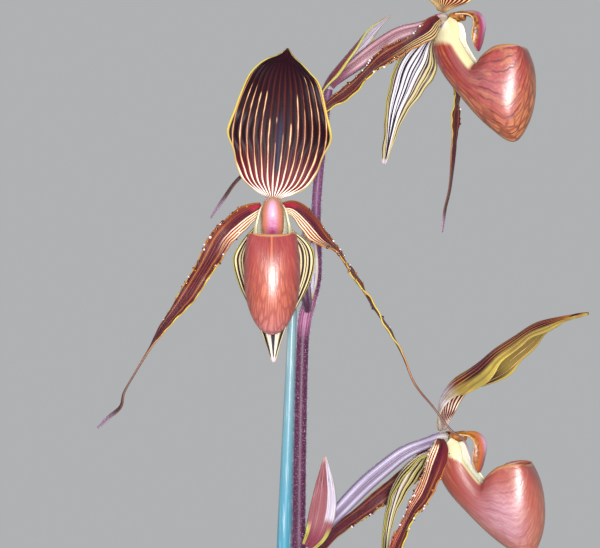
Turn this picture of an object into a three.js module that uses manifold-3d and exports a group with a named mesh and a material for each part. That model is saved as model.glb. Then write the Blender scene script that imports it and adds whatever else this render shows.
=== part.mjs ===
// A potted slipper orchid: one fan of strap leaves in a plain pot, and a staked stem of three flowers.
// Millimetres, +Z up. The origin is the centre of the pot's underside, and the front is -Y.
import * as THREE from 'three';
import { mergeVertices } from 'three/addons/utils/BufferGeometryUtils.js';
import Module from 'manifold-3d';

const wasm = await Module();
wasm.setup();

const DEGREE = Math.PI / 180;
const UP = new THREE.Vector3(0, 0, 1);
const FRONT = new THREE.Vector3(0, -1, 0);
const CLEARANCE = 0.35;

// Pot
const POT_HEIGHT = 125;
const POT_TOP_RADIUS = 66;
const POT_BASE_RADIUS = 51;
const POT_WALL = 2.2;
const POT_FLOOR = 3;
const POT_SIDES = 40;
const RIM_HEIGHT = 17;
const RIM_STEP = 3.4;
const RIM_LIP = 1.2;
const DRAIN_HOLES = 6;
const DRAIN_RADIUS = 5;
const DRAIN_CIRCLE = 33;
const DRAIN_SIDES = 12;

// Potting mix and its bark chips
const MIX_LEVEL = 110;
const MIX_DOME = 3;
const CHIP_COUNT = 46;
const CHIP_LENGTHS = [9, 17];
const CHIP_WIDTHS = [6, 11];
const CHIP_DEPTHS = [4, 6.5];
const CHIP_TILT = 22 * DEGREE;
const CHIP_RISE = 0.12;
const CHIP_SEED = 7;
const GOLDEN_ANGLE = Math.PI * (3 - Math.sqrt(5));

// Leaf fan
const FAN_ANGLE = 14 * DEGREE;
const LEAF_ROOT_DEPTH = 12;
const LEAF_SHEATH = 26;
const LEAF_THICKNESS = 1.5;
const LEAF_ROOT_HALF_WIDTH = 9;
const LEAF_ROOT_ROLL = 1 / 9;
const LEAF_FACE_ROLL = 0.012;
const LEAF_KEEL = 1.6;
const LEAF_ROWS = 16;
const LEAF_COLUMNS = 4;

// Flower stem and stake
const STEM_SIDES = 10;
const STEM_ROWS = 30;
const STAKE_LEAN = 0.0363;
const STAKE_SLANT = 0.06;
const STAKE_TOP = 506;
const STAKE_TOP_X = -3.05;
const STAKE_TOP_Y = 0.7;
const STAKE_FOOT = 35;
const STAKE_SIDES = 12;

// Flowers
const SEPAL_THICKNESS = 0.8;
const PETAL_THICKNESS = 0.8;
const POUCH_THICKNESS = 0.9;
const HEAD_RADIUS = 3.1;
const HEAD_SPINE = [[-12, -4], [-3, -1], [0.2, -0.7]];

const clamp = (value, low, high) => Math.min(Math.max(value, low), high);
const mix = (a, b, t) => a + (b - a) * t;

// Smooth step from 0 to 1 as x goes from a to b.
function ramp(x, a, b) {
  const t = clamp((x - a) / (b - a), 0, 1);
  return t * t * (3 - 2 * t);
}

// A smooth curve through [position, value] pairs, with flat values outside them.
function through(pairs) {
  const slopes = pairs.map((pair, i) => {
    const before = pairs[Math.max(i - 1, 0)];
    const after = pairs[Math.min(i + 1, pairs.length - 1)];
    return (after[1] - before[1]) / (after[0] - before[0]);
  });
  return (x) => {
    let i = 0;
    while (i < pairs.length - 2 && x > pairs[i + 1][0]) {
      i += 1;
    }
    const [x0, y0] = pairs[i];
    const [x1, y1] = pairs[i + 1];
    const h = x1 - x0;
    const t = clamp((x - x0) / h, 0, 1);
    const t2 = t * t;
    const t3 = t2 * t;
    return (2 * t3 - 3 * t2 + 1) * y0 + (t3 - 2 * t2 + t) * h * slopes[i]
      + (3 * t2 - 2 * t3) * y1 + (t3 - t2) * h * slopes[i + 1];
  };
}

// A seeded stream of numbers between 0 and 1.
function seeded(seed) {
  let state = seed;
  return () => {
    state = (state * 16807) % 2147483647;
    return state / 2147483647;
  };
}

function vector([x, y, z]) {
  return new THREE.Vector3(x, y, z);
}

function smoothPath(points) {
  return new THREE.CatmullRomCurve3(points, false, 'catmullrom', 0.5);
}

function indexedGeometry(positions, triangles) {
  const geometry = new THREE.BufferGeometry();
  geometry.setAttribute('position', new THREE.Float32BufferAttribute(positions, 3));
  geometry.setIndex(triangles);
  return geometry;
}

// Signed volume, which is positive where the faces point outwards.
function volumeOf(geometry) {
  const place = geometry.attributes.position;
  const index = geometry.index.array;
  const corner = [new THREE.Vector3(), new THREE.Vector3(), new THREE.Vector3()];
  let total = 0;
  for (let i = 0; i < index.length; i += 3) {
    corner.forEach((point, k) => point.fromBufferAttribute(place, index[i + k]));
    total += corner[0].dot(corner[1].clone().cross(corner[2])) / 6;
  }
  return total;
}

// One closed body with shared corners and faces that point out.
function closed(source) {
  const bare = source.clone();
  bare.deleteAttribute('normal');
  bare.deleteAttribute('uv');
  const geometry = mergeVertices(bare, 1e-4);
  if (volumeOf(geometry) < 0) {
    const index = geometry.index.array;
    for (let i = 0; i < index.length; i += 3) {
      [index[i], index[i + 1]] = [index[i + 1], index[i]];
    }
  }
  return geometry;
}

function toSolid(source) {
  const geometry = closed(source);
  return new wasm.Manifold(new wasm.Mesh({
    numProp: 3,
    vertProperties: new Float32Array(geometry.attributes.position.array),
    triVerts: new Uint32Array(geometry.index.array),
  }));
}

function fromSolid(solid) {
  const { vertProperties, triVerts } = solid.getMesh();
  return indexedGeometry(Array.from(vertProperties), Array.from(triVerts));
}

// A thin closed sheet about a middle surface. Both faces are split into the same triangles.
function sheet(surface, rows, columns, thickness) {
  const across = columns + 1;
  const at = (i, j) => i * across + j;
  const middle = [];
  for (let i = 0; i <= rows; i += 1) {
    for (let j = 0; j <= columns; j += 1) {
      middle.push(surface(i / rows, (2 * j) / columns - 1));
    }
  }
  const positions = [];
  const offset = (side) => {
    for (let i = 0; i <= rows; i += 1) {
      for (let j = 0; j <= columns; j += 1) {
        const along = middle[at(Math.min(i + 1, rows), j)].clone().sub(middle[at(Math.max(i - 1, 0), j)]);
        const wide = middle[at(i, Math.min(j + 1, columns))].clone().sub(middle[at(i, Math.max(j - 1, 0))]);
        const normal = wide.cross(along).normalize();
        const point = middle[at(i, j)].clone().addScaledVector(normal, side * thickness / 2);
        positions.push(point.x, point.y, point.z);
      }
    }
  };
  offset(1);
  offset(-1);
  const back = middle.length;
  const triangles = [];
  const quad = (a, b, c, d) => triangles.push(a, b, c, a, c, d);
  for (let i = 0; i < rows; i += 1) {
    for (let j = 0; j < columns; j += 1) {
      const corners = [at(i, j), at(i, j + 1), at(i + 1, j + 1), at(i + 1, j)];
      const [a, b, c, d] = corners;
      quad(a, b, c, d);
      triangles.push(back + a, back + c, back + b, back + a, back + d, back + c);
    }
  }
  for (let j = 0; j < columns; j += 1) {
    quad(at(0, j + 1), at(0, j), back + at(0, j), back + at(0, j + 1));
    quad(at(rows, j), at(rows, j + 1), back + at(rows, j + 1), back + at(rows, j));
  }
  for (let i = 0; i < rows; i += 1) {
    quad(at(i, 0), at(i + 1, 0), back + at(i + 1, 0), back + at(i, 0));
    quad(at(i + 1, columns), at(i, columns), back + at(i, columns), back + at(i + 1, columns));
  }
  return closed(indexedGeometry(positions, triangles));
}

// The middle surface of a blade on a spine. It turns about the spine, rolls across it and waves.
// The rolled side faces the way of facing.
function strap({ spine, facing, halfWidth, turn = () => 0, roll = () => 0, wave = () => 0 }) {
  const path = smoothPath(spine);
  return (s, u) => {
    const along = path.getTangentAt(s);
    const across = along.clone().cross(facing).normalize().applyAxisAngle(along, turn(s));
    const face = across.clone().cross(along);
    const reach = halfWidth(s, u) * u;
    const bend = roll(s) || 1e-6;
    const side = Math.sin(reach * bend) / bend;
    const rise = (1 - Math.cos(reach * bend)) / bend + wave(s, u);
    return path.getPointAt(s).addScaledVector(across, side).addScaledVector(face, rise);
  };
}

// A round stalk along a path, closed at both ends, with a radius that changes on the way.
// Every second side may lie lower by the share rib, which leaves ribs between. A crowding over 1
// draws the rings together towards the far end.
function stalk(points, radius, rows, sides, rib = 0, crowding = 1) {
  const path = smoothPath(points);
  const positions = [];
  let side = new THREE.Vector3(0.3, 1, 0.2);
  for (let i = 0; i <= rows; i += 1) {
    const s = 1 - (1 - i / rows) ** crowding;
    const along = path.getTangentAt(s);
    const centre = path.getPointAt(s);
    side = side.clone().addScaledVector(along, -side.dot(along)).normalize();
    const other = along.clone().cross(side);
    for (let j = 0; j < sides; j += 1) {
      const angle = (2 * Math.PI * j) / sides;
      const reach = radius(s) * (1 - rib * (j % 2));
      const point = centre.clone()
        .addScaledVector(side, reach * Math.cos(angle))
        .addScaledVector(other, reach * Math.sin(angle));
      positions.push(point.x, point.y, point.z);
    }
  }
  const ends = [path.getPointAt(0), path.getPointAt(1)];
  ends.forEach((end) => positions.push(end.x, end.y, end.z));
  const first = (rows + 1) * sides;
  const triangles = [];
  for (let j = 0; j < sides; j += 1) {
    const next = (j + 1) % sides;
    for (let i = 0; i < rows; i += 1) {
      const [a, b] = [i * sides + j, i * sides + next];
      triangles.push(a, b, b + sides, a, b + sides, a + sides);
    }
    triangles.push(first, next, j);
    triangles.push(first + 1, rows * sides + j, rows * sides + next);
  }
  return closed(indexedGeometry(positions, triangles));
}

function finish(colour, roughness) {
  return new THREE.MeshStandardMaterial({ color: colour, roughness, metalness: 0 });
}

const FINISHES = {
  pot: finish(0x9c5636, 0.6),
  bark: finish(0x5a3a24, 0.95),
  leaf: finish(0x3f6b2c, 0.45),
  stem: finish(0x5a2a48, 0.7),
  stake: finish(0x9cc4d2, 0.4),
  dorsal: finish(0x5a2c33, 0.5),
  petal: finish(0x6a2a30, 0.5),
  synsepal: finish(0xe6e2d6, 0.55),
  pouch: finish(0xb85a4c, 0.3),
  column: finish(0xc8684a, 0.4),
  ovary: finish(0x9a8090, 0.6),
  bract: finish(0xa86068, 0.6),
};

function piece(name, geometry, material) {
  const mesh = new THREE.Mesh(geometry, material);
  mesh.name = name;
  return mesh;
}

// Revolves a profile of [radius, height] pairs about the Z axis.
function turned(profile, sides) {
  const outline = profile.map(([radius, height]) => new THREE.Vector2(radius, height));
  return new THREE.LatheGeometry(outline, sides).rotateX(Math.PI / 2);
}

// Pot
function potRadiusAt(height) {
  return mix(POT_BASE_RADIUS, POT_TOP_RADIUS, height / POT_HEIGHT);
}

function makePot() {
  const shoulder = POT_HEIGHT - RIM_HEIGHT;
  const outerTop = potRadiusAt(POT_HEIGHT);
  const profile = [
    [0, 0],
    [POT_BASE_RADIUS - 1, 0],
    [POT_BASE_RADIUS, 1],
    [potRadiusAt(shoulder), shoulder],
    [potRadiusAt(shoulder) + RIM_STEP, shoulder + 1],
    [outerTop + RIM_STEP, POT_HEIGHT - RIM_LIP],
    [outerTop + RIM_STEP - RIM_LIP, POT_HEIGHT],
    [outerTop - POT_WALL + RIM_LIP, POT_HEIGHT],
    [outerTop - POT_WALL, POT_HEIGHT - RIM_LIP],
    [potRadiusAt(POT_FLOOR) - POT_WALL, POT_FLOOR],
    [0, POT_FLOOR],
  ];
  let pot = toSolid(turned(profile, POT_SIDES));
  for (let i = 0; i < DRAIN_HOLES; i += 1) {
    const angle = (2 * Math.PI * i) / DRAIN_HOLES;
    const hole = new THREE.CylinderGeometry(DRAIN_RADIUS, DRAIN_RADIUS, 4 * POT_FLOOR, DRAIN_SIDES)
      .rotateX(Math.PI / 2)
      .translate(DRAIN_CIRCLE * Math.cos(angle), DRAIN_CIRCLE * Math.sin(angle), 0);
    pot = pot.subtract(toSolid(hole));
  }
  return piece('pot', fromSolid(pot), FINISHES.pot);
}

// Stake: a straight round rod that leans against the stem
const STAKE_RADIUS = through([[STAKE_FOOT, 3.7], [300, 3.7], [408, 3.15], [488, 2], [STAKE_TOP, 1.8]]);
const STAKE_HEIGHTS = [STAKE_FOOT, 240, 300, 350, 408, 450, 488, STAKE_TOP];

function stakePoint(height) {
  const drop = STAKE_TOP - height;
  return new THREE.Vector3(STAKE_TOP_X - STAKE_LEAN * drop, STAKE_TOP_Y + STAKE_SLANT * drop, height);
}

// The rod between two heights, wider by a margin all round.
function stakeRod(heights, margin) {
  const positions = [];
  heights.forEach((height) => {
    const centre = stakePoint(height);
    for (let j = 0; j < STAKE_SIDES; j += 1) {
      const angle = (2 * Math.PI * j) / STAKE_SIDES;
      const radius = STAKE_RADIUS(height) + margin;
      positions.push(centre.x + radius * Math.cos(angle), centre.y + radius * Math.sin(angle), height);
    }
  });
  const first = positions.length / 3;
  const ends = [stakePoint(heights[0]), stakePoint(heights[heights.length - 1])];
  ends.forEach((end) => positions.push(end.x, end.y, end.z));
  const triangles = [];
  const last = (heights.length - 1) * STAKE_SIDES;
  for (let j = 0; j < STAKE_SIDES; j += 1) {
    const next = (j + 1) % STAKE_SIDES;
    for (let i = 0; i < heights.length - 1; i += 1) {
      const [a, b] = [i * STAKE_SIDES + j, i * STAKE_SIDES + next];
      triangles.push(a, b, b + STAKE_SIDES, a, b + STAKE_SIDES, a + STAKE_SIDES);
    }
    triangles.push(first, next, j);
    triangles.push(first + 1, last + j, last + next);
  }
  return closed(indexedGeometry(positions, triangles));
}

// Leaf fan: each leaf stands up in its sheath, leans out and arches over
const LEAVES = [
  { length: 225, halfWidth: 18, lean: 13, droop: 46, swing: 4 },
  { length: 250, halfWidth: 19, lean: 17, droop: 62, swing: -5 },
  { length: 285, halfWidth: 20, lean: 29, droop: 80, swing: -7 },
  { length: 300, halfWidth: 21, lean: 33, droop: 92, swing: 6 },
  { length: 310, halfWidth: 21, lean: 44, droop: 104, swing: 9 },
  { length: 300, halfWidth: 20, lean: 50, droop: 112, swing: -9 },
  { length: 260, halfWidth: 18, lean: 62, droop: 118, swing: -11 },
];
const LEAF_FIRST_OFFSET = 5.2;
const LEAF_OFFSET_STEP = 2.3;
const LEAF_STEPS = 48;
const LEAF_LEAN_LENGTH = 0.16;
const LEAF_WAVE = 0.9;
const LEAF_OUTLINE = through([
  [0.16, 0.62], [0.3, 0.88], [0.52, 1], [0.74, 0.84], [0.88, 0.54], [0.96, 0.27], [1, 0.05],
]);

// The level direction in which a leaf leaves the fan, turned by its swing.
function leafHeading(index, swing) {
  const angle = (index % 2 === 0 ? Math.PI : 0) + FAN_ANGLE + swing * DEGREE;
  return new THREE.Vector3(Math.cos(angle), Math.sin(angle), 0);
}

function leafSpine(index, leaf) {
  const point = leafHeading(index, 0).multiplyScalar(LEAF_FIRST_OFFSET + LEAF_OFFSET_STEP * index);
  point.z = MIX_LEVEL - LEAF_ROOT_DEPTH;
  const sheath = LEAF_SHEATH / leaf.length;
  const step = leaf.length / LEAF_STEPS;
  const points = [point.clone()];
  for (let i = 1; i <= LEAF_STEPS; i += 1) {
    const s = (i - 0.5) / LEAF_STEPS;
    const free = clamp((s - sheath) / (1 - sheath), 0, 1);
    const tilt = leaf.lean * ramp(free, 0, LEAF_LEAN_LENGTH) + (leaf.droop - leaf.lean) * free ** 1.4;
    const heading = leafHeading(index, leaf.swing * ramp(free, 0, 0.6));
    point.addScaledVector(UP, step * Math.cos(tilt * DEGREE));
    point.addScaledVector(heading, step * Math.sin(tilt * DEGREE));
    if (i % 4 === 0) {
      points.push(point.clone());
    }
  }
  return points;
}

function makeLeaf(index) {
  const leaf = LEAVES[index];
  const sheath = LEAF_SHEATH / leaf.length;
  const halfWidth = (s) => mix(
    LEAF_ROOT_HALF_WIDTH,
    leaf.halfWidth * LEAF_OUTLINE(s),
    ramp(s, sheath, 2.2 * sheath + 0.05),
  );
  const surface = strap({
    spine: leafSpine(index, leaf),
    facing: leafHeading(index, 0).negate().add(UP),
    halfWidth,
    roll: (s) => mix(LEAF_ROOT_ROLL, LEAF_FACE_ROLL, ramp(s, 0.8 * sheath, 3 * sheath + 0.08)),
    wave: (s, u) => ramp(s, sheath, 4 * sheath)
      * (LEAF_KEEL * Math.abs(u) + LEAF_WAVE * u * Math.sin(9 * s + 2 * index)),
  });
  const name = `leaf_${index + 1}`;
  return piece(name, sheet(surface, LEAF_ROWS, LEAF_COLUMNS, LEAF_THICKNESS), FINISHES.leaf);
}

// Potting mix: fills the pot, with bark chips standing out of it and plain holes for what it holds
const WELL_HALF_LENGTH = 21;
const WELL_HALF_WIDTH = 10;
const WELL_CURVE_STEPS = 8;
const HOLE_HEADROOM = 20;

function makeWell() {
  const reach = WELL_HALF_LENGTH - WELL_HALF_WIDTH;
  const outline = new THREE.Shape();
  outline.absarc(reach, 0, WELL_HALF_WIDTH, -Math.PI / 2, Math.PI / 2, false);
  outline.absarc(-reach, 0, WELL_HALF_WIDTH, Math.PI / 2, 1.5 * Math.PI, false);
  const floor = MIX_LEVEL - LEAF_ROOT_DEPTH - CLEARANCE;
  const depth = MIX_LEVEL + HOLE_HEADROOM - floor;
  return new THREE.ExtrudeGeometry(outline, { depth, bevelEnabled: false, curveSegments: WELL_CURVE_STEPS })
    .rotateZ(FAN_ANGLE)
    .translate(0, 0, floor);
}

function makeChip(index, random) {
  const inside = potRadiusAt(MIX_LEVEL) - POT_WALL - CLEARANCE;
  const size = [CHIP_LENGTHS, CHIP_WIDTHS, CHIP_DEPTHS].map(([low, high]) => mix(low, high, random()));
  const reach = (inside - 0.55 * size[0]) * Math.sqrt((index + 0.5) / CHIP_COUNT);
  const turn = new THREE.Euler(
    mix(-CHIP_TILT, CHIP_TILT, random()),
    mix(-CHIP_TILT, CHIP_TILT, random()),
    Math.PI * random(),
  );
  const height = MIX_LEVEL + MIX_DOME * (1 - (reach / inside) ** 2) + CHIP_RISE * size[2];
  return new THREE.BoxGeometry(...size)
    .applyMatrix4(new THREE.Matrix4().makeRotationFromEuler(turn))
    .translate(reach * Math.cos(index * GOLDEN_ANGLE), reach * Math.sin(index * GOLDEN_ANGLE), height);
}

function makePottingMix() {
  const low = POT_FLOOR + CLEARANCE;
  const radiusAt = (height) => potRadiusAt(height) - POT_WALL - 1.5 * CLEARANCE;
  const body = turned([
    [0, low],
    [radiusAt(low), low],
    [radiusAt(MIX_LEVEL), MIX_LEVEL],
    [0.5 * radiusAt(MIX_LEVEL), MIX_LEVEL + 0.75 * MIX_DOME],
    [0, MIX_LEVEL + MIX_DOME],
  ], POT_SIDES);
  const random = seeded(CHIP_SEED);
  let filling = toSolid(body);
  for (let i = 0; i < CHIP_COUNT; i += 1) {
    filling = filling.add(toSolid(makeChip(i, random)));
  }
  filling = filling.subtract(toSolid(makeWell()));
  const hole = [STAKE_FOOT - CLEARANCE, MIX_LEVEL + HOLE_HEADROOM];
  filling = filling.subtract(toSolid(stakeRod(hole, CLEARANCE)));
  return piece('potting_mix', fromSolid(filling), FINISHES.bark);
}

// Flower stem: zigzags a little at each flower's node
const STEM_PATH = [
  [0, 0, MIX_LEVEL - LEAF_ROOT_DEPTH], [0.6, 0, 170], [0.2, 0, 240], [-0.6, 0, 320], [-0.5, 0, 405],
  [0.1, 0, 452], [1, 0, 488], [2.1, 0, 501], [3.9, 0, 508], [7, 0, 520], [6.9, 0, 549],
  [9.6, 0, 578], [11.6, 0, 594], [12.2, 0, 598],
];
const STEM_RADIUS = through([
  [0, 3.2], [0.55, 2.9], [0.6, 3], [0.615, 3.2], [0.63, 2.85], [0.78, 2.6], [0.815, 2.8], [0.84, 2.2],
  [0.95, 1.9], [1, 1.7],
]);

function makeStem() {
  const body = stalk(STEM_PATH.map(vector), STEM_RADIUS, STEM_ROWS, STEM_SIDES);
  return piece('flower_stem', body, FINISHES.stem);
}

// Flowers. Places in a flower are [side, front, up] from the point where its parts meet.
// Side is to the right of someone who faces the flower.
const SIDE_VIEW = Math.PI / 2 - 18 * DEGREE;
const TOWARDS_CAMERA = [-0.95, 0.31, 0];
const HOODED = 0.045;

const PETAL_OUTLINE = through([
  [0, 2], [0.05, 3.4], [0.12, 4.7], [0.25, 4.7], [0.4, 3.8], [0.55, 2.9], [0.68, 1.9], [0.77, 1.1],
  [0.86, 0.9], [0.95, 1], [1, 0.5],
]);
const PETAL_LOBE = through([[0, 0], [0.04, 0.25], [0.09, 0.3], [0.15, 0.12], [0.2, 0]]);
const PETAL_LOBE_ROLL = -0.13;
const PETAL_ROLL = 0.05;
const PETAL_WAVE = { height: 0.7, pace: 34 };
const PETAL_ROWS = 26;
const PETAL_COLUMNS = 4;
const DORSAL_OUTLINE = through([
  [0, 3.4], [0.04, 8.5], [0.09, 12.8], [0.18, 16.2], [0.3, 18.4], [0.38, 20.8], [0.44, 21.2],
  [0.56, 19], [0.7, 16.4], [0.8, 13.8], [0.86, 10.6], [0.91, 7], [0.95, 3.2], [1, 0.5],
]);
const DORSAL_WAVE = { height: 0.9, pace: 11 };
const DORSAL_ROWS = 14;
const DORSAL_COLUMNS = 8;
const SYNSEPAL_OUTLINE = through([
  [0, 3], [0.08, 8], [0.2, 15], [0.3, 16.8], [0.45, 14.8], [0.6, 10.6], [0.75, 6], [0.88, 2.8], [1, 0.6],
]);
const SYNSEPAL_WAVE = { height: 0.6, pace: 10 };
const SYNSEPAL_ROWS = 12;
const SYNSEPAL_COLUMNS = 6;

const FLOWERS = {
  middle: {
    attach: [-10.8, -45, 548],
    yaw: 0,
    nod: 0,
    dorsal: {
      spine: [
        [0, -2.6, 2.55], [0.8, -2.4, 9], [2, -1.5, 20], [2.8, 0, 30], [3.6, 3, 42], [4.2, 7, 52],
        [6, 12.4, 60.8],
      ],
      roll: 0.014,
    },
    synsepal: {
      spine: [
        [0, -4.8, -5.3], [-0.3, -8, -12], [0.2, -11, -22], [0, -13.5, -34], [-0.3, -15.5, -46],
        [0, -16, -64],
      ],
      roll: 0.015,
      width: 1,
    },
    leftPetal: {
      spine: [
        [-4.4, -2.5, -1], [-8.5, -3, -3.2], [-13.6, -4, -6.8], [-20.6, -5, -13.6], [-25, -4, -21.6],
        [-29.2, -2, -28.8], [-35.6, 0, -38.8], [-44, 2, -50], [-50.4, 3, -60], [-55.2, 4, -68],
        [-59.2, 4, -75.2], [-60.6, 4, -80.8], [-65.2, 5, -85], [-69.6, 6, -89.2],
      ],
      facing: [0, 1, 0],
      turn: [[0, 0], [0.15, 0.3], [0.46, 0.4], [0.58, 1], [0.66, 1.4], [0.8, 1.5], [0.9, 0.9], [1, 0.5]],
      lobeSide: 1,
    },
    rightPetal: {
      spine: [
        [3.6, -2.5, -1], [8.6, -3, -2], [14.6, -4, -7.4], [20, -4, -14], [25.8, -3, -19.4],
        [33.6, -1, -30.8], [40.8, 1, -42], [50.8, 2, -58.4], [56.4, 3, -71.6], [64, 3, -81.2],
        [70.4, 4, -89.6], [76.4, 4, -94.8], [79.6, 4, -104.4],
      ],
      facing: [0, 1, 0],
      turn: [[0, 0], [0.06, -0.25], [0.14, -0.8], [0.22, -1.25], [0.32, -1.5], [1, -1.5]],
      lobeSide: -1,
    },
    ovary: [[3.2, -4.2, 504.8], [2.8, -8.4, 509], [0.5, -17, 519], [-4, -26, 533]],
    ovaryScale: 0.95,
    bract: {
      spine: [[3.2, -3.4, 509.6], [3.6, -5.6, 520], [3.4, -8.4, 532], [3.2, -9.6, 546]],
      facing: [0, -1, 0],
      roll: 0.14,
      width: 4.2,
    },
  },
  upper: {
    attach: [61.7, -7, 627.5],
    yaw: SIDE_VIEW,
    nod: -2.5 * DEGREE,
    dorsal: {
      spine: [[0, -2.6, 2.55], [0, -2, 10], [0, 1, 22], [0, 5, 34], [0, 11, 46], [0, 20, 57]],
      roll: 0.035,
      turn: -0.55,
    },
    synsepal: {
      spine: [
        [0, -4.8, -5.3], [0, -11.5, -11.5], [0, -17.4, -20], [0, -20.6, -29], [0, -23.8, -39.5],
        [0, -26, -52], [0, -27.5, -61],
      ],
      roll: HOODED,
      turn: 0.32,
      width: 0.92,
    },
    leftPetal: {
      spine: [
        [-4.4, -2.5, -1], [-8.5, -3.6, -3.2], [-13.4, -5.7, -7.5], [-19.4, -14.4, -14.2],
        [-22.2, -23.2, -20.1], [-24, -34.9, -31.4], [-25.9, -44.1, -38.1], [-29.5, -55.2, -47.8],
        [-34.3, -66.9, -58.2], [-39.2, -78.4, -67.9], [-41.6, -84.3, -76.3], [-43.8, -89.3, -84.6],
      ],
      facing: TOWARDS_CAMERA,
      turn: [[0, 0], [0.15, 0.8], [1, 0.8]],
      lobeSide: 1,
    },
    rightPetal: {
      spine: [
        [3.9, -2.5, -1], [9, -1.5, -1.6], [17.2, 1, -9.2], [21, -0.2, -19.7], [20.7, -1, -31.4],
        [18.4, -1.6, -51], [16, -2.6, -69.6], [13.3, -4.3, -80.4], [11, -4.9, -89.7],
      ],
      facing: [0, 1, 0],
      turn: [[0, 0], [0.15, 0.2], [1, 0.2]],
      lobeSide: -1,
    },
    ovary: [
      [13, -0.2, 599.2], [15.5, -0.5, 602], [22.4, -1, 607.5], [33, -1.5, 615.5], [41.8, -2, 621],
    ],
    ovaryScale: 1,
    bract: {
      spine: [
        [8.9, 0, 596.5], [12.2, 0, 603], [17.6, -0.3, 609.6], [24, -0.5, 616.6], [30.8, -0.8, 623.4],
        [38, -1, 629],
      ],
      facing: [0.6, 0, -0.8],
      roll: 0.2,
      turn: -0.5,
      width: 6,
    },
  },
  lower: {
    attach: [62, -8, 452],
    yaw: SIDE_VIEW,
    nod: 4 * DEGREE,
    dorsal: {
      spine: [
        [0, -2.6, 2.55], [0, -3.2, 9], [0, -2.4, 16], [0, 2.6, 23.5], [0, 9.3, 28], [0, 14.1, 31.4],
        [0, 20.7, 36.9], [0, 28.6, 42], [0, 37, 47.3], [0, 46, 49.8], [0, 59, 52],
      ],
      roll: HOODED,
    },
    synsepal: {
      spine: [
        [0, -4.8, -5.3], [0, -12.6, -8.6], [0, -18.2, -13.4], [0, -22.4, -20.5], [0, -25.2, -29],
        [0, -27.3, -40], [0, -28, -50], [0, -28, -60],
      ],
      roll: HOODED,
      width: 0.85,
    },
    leftPetal: {
      spine: [
        [-4.4, -2.5, -1], [-9.6, -1, -4.4], [-13.6, -2.8, -12.6], [-17.4, -5.9, -22.6],
        [-18.2, -10, -29], [-19, -13.4, -36], [-21.1, -18, -47], [-22.6, -25, -62],
        [-23.8, -31.6, -78], [-24.1, -35.5, -95], [-24.7, -37.2, -110],
      ],
      facing: TOWARDS_CAMERA,
      turn: [[0, 0], [0.12, 0.55], [0.25, 1], [1, 1.05]],
      lobeSide: 1,
    },
    rightPetal: {
      spine: [
        [3.9, -2.5, -1], [9.6, -2.5, -1.6], [15.8, -7, -6.5], [19.6, -16, -13.5], [20, -27.4, -22.6],
        [14, -40.9, -34], [6.7, -53.5, -44.8], [3.4, -60.4, -58], [2.4, -63.5, -75], [2.2, -62.6, -92],
      ],
      facing: [1, 0, 0],
      turn: [[0, 0], [0.15, 0.2], [1, 0.2]],
      lobeSide: 1,
    },
    ovary: [
      [4.1, -0.3, 406.2], [9.7, -0.6, 412.4], [18, -1.2, 421.6], [27.5, -2, 431.4], [36.5, -3, 439.2],
      [43.5, -3.7, 444.6],
    ],
    ovaryScale: 1.06,
    bract: {
      spine: [
        [3.2, -3.9, 405.2], [6.8, -5.6, 410.8], [9.2, -5.8, 419], [10.4, -6, 429], [10.5, -5.4, 443.5],
      ],
      facing: [0, 1, 0],
      roll: 0.05,
      width: 5.6,
    },
  },
};

const OVARY_RADIUS = through([
  [0, 1.7], [0.12, 2.5], [0.3, 3.4], [0.5, 3.6], [0.72, 3.1], [0.86, 2.6], [0.94, HEAD_RADIUS],
  [0.98, 2.6], [1, 1.6],
]);
const OVARY_RIB = 0.08;
const OVARY_ROWS = 12;
const OVARY_SIDES = 12;
const OVARY_CROWDING = 1.6;
const BRACT_OUTLINE = through([[0, 0.5], [0.2, 0.9], [0.45, 1], [0.7, 0.72], [0.9, 0.3], [1, 0.08]]);
const BRACT_ROWS = 9;
const BRACT_COLUMNS = 4;

// Pouch: ribs run from the keel to the margin on both sides. Each row is [front, up].
const POUCH_KEEL = [
  [-2, -5.1], [-4.4, -9], [-4.9, -13.9], [-0.9, -22.7], [7.1, -32.3], [15.5, -41.2], [22.5, -47],
  [28.7, -50.8], [32.9, -49.4], [36.9, -41], [38.3, -31.5], [37.4, -21.5], [34, -12.8],
];
const POUCH_MARGIN = [
  [2.2, -0.3], [5.6, -2.4], [6.9, -6.5], [7.6, -10.6], [13.9, -19.6], [16.4, -17.2], [19.2, -14.8],
  [22, -13], [24.8, -12.2], [27.6, -11.9], [30, -12], [31.6, -12.3], [32.6, -12.6],
];
const POUCH_HALF_WIDTH = through([
  [0, 4], [0.12, 6], [0.25, 8], [0.36, 9.4], [0.5, 10.4], [0.68, 10.3], [0.85, 8.8], [1, 7.2],
]);
const POUCH_SWEEP = through([[0, 1.85], [0.2, 2.1], [0.35, 2.45], [0.6, 2.3], [0.8, 1.9], [1, 1.45]]);
const POUCH_ROWS = 16;
const POUCH_COLUMNS = 10;

// Column and staminode: a stub that carries a shield, which bends down at the front
const COLUMN_RADIUS = 2.2;
const COLUMN_SPINE = [[0.7, -0.6], [4, 0], [8, 0.6]];
const COLUMN_ROWS = 3;
const COLUMN_SIDES = 8;
const SHIELD_SPINE = [[3.8, 1.4], [9.5, 1.7], [13.4, 0], [15.5, -4.2], [15.3, -9], [13.3, -14.6]];
const SHIELD_OUTLINE = through([
  [0, 2.2], [0.2, 3.2], [0.4, 4.6], [0.6, 6.2], [0.8, 6.2], [0.92, 4.6], [1, 1.4],
]);
const SHIELD_ROLL = 0.25;
const SHIELD_THICKNESS = 1.2;
const SHIELD_ROWS = 8;
const SHIELD_COLUMNS = 6;

// A point in a flower, from [side, front, up].
function flowerPoint([side, front, up]) {
  return new THREE.Vector3(side, -front, up);
}

// Points of a flower's middle plane, from [front, up] pairs.
function onMiddle(pairs) {
  return pairs.map(([front, up]) => flowerPoint([0, front, up]));
}

function constant(value) {
  return () => value;
}

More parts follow.
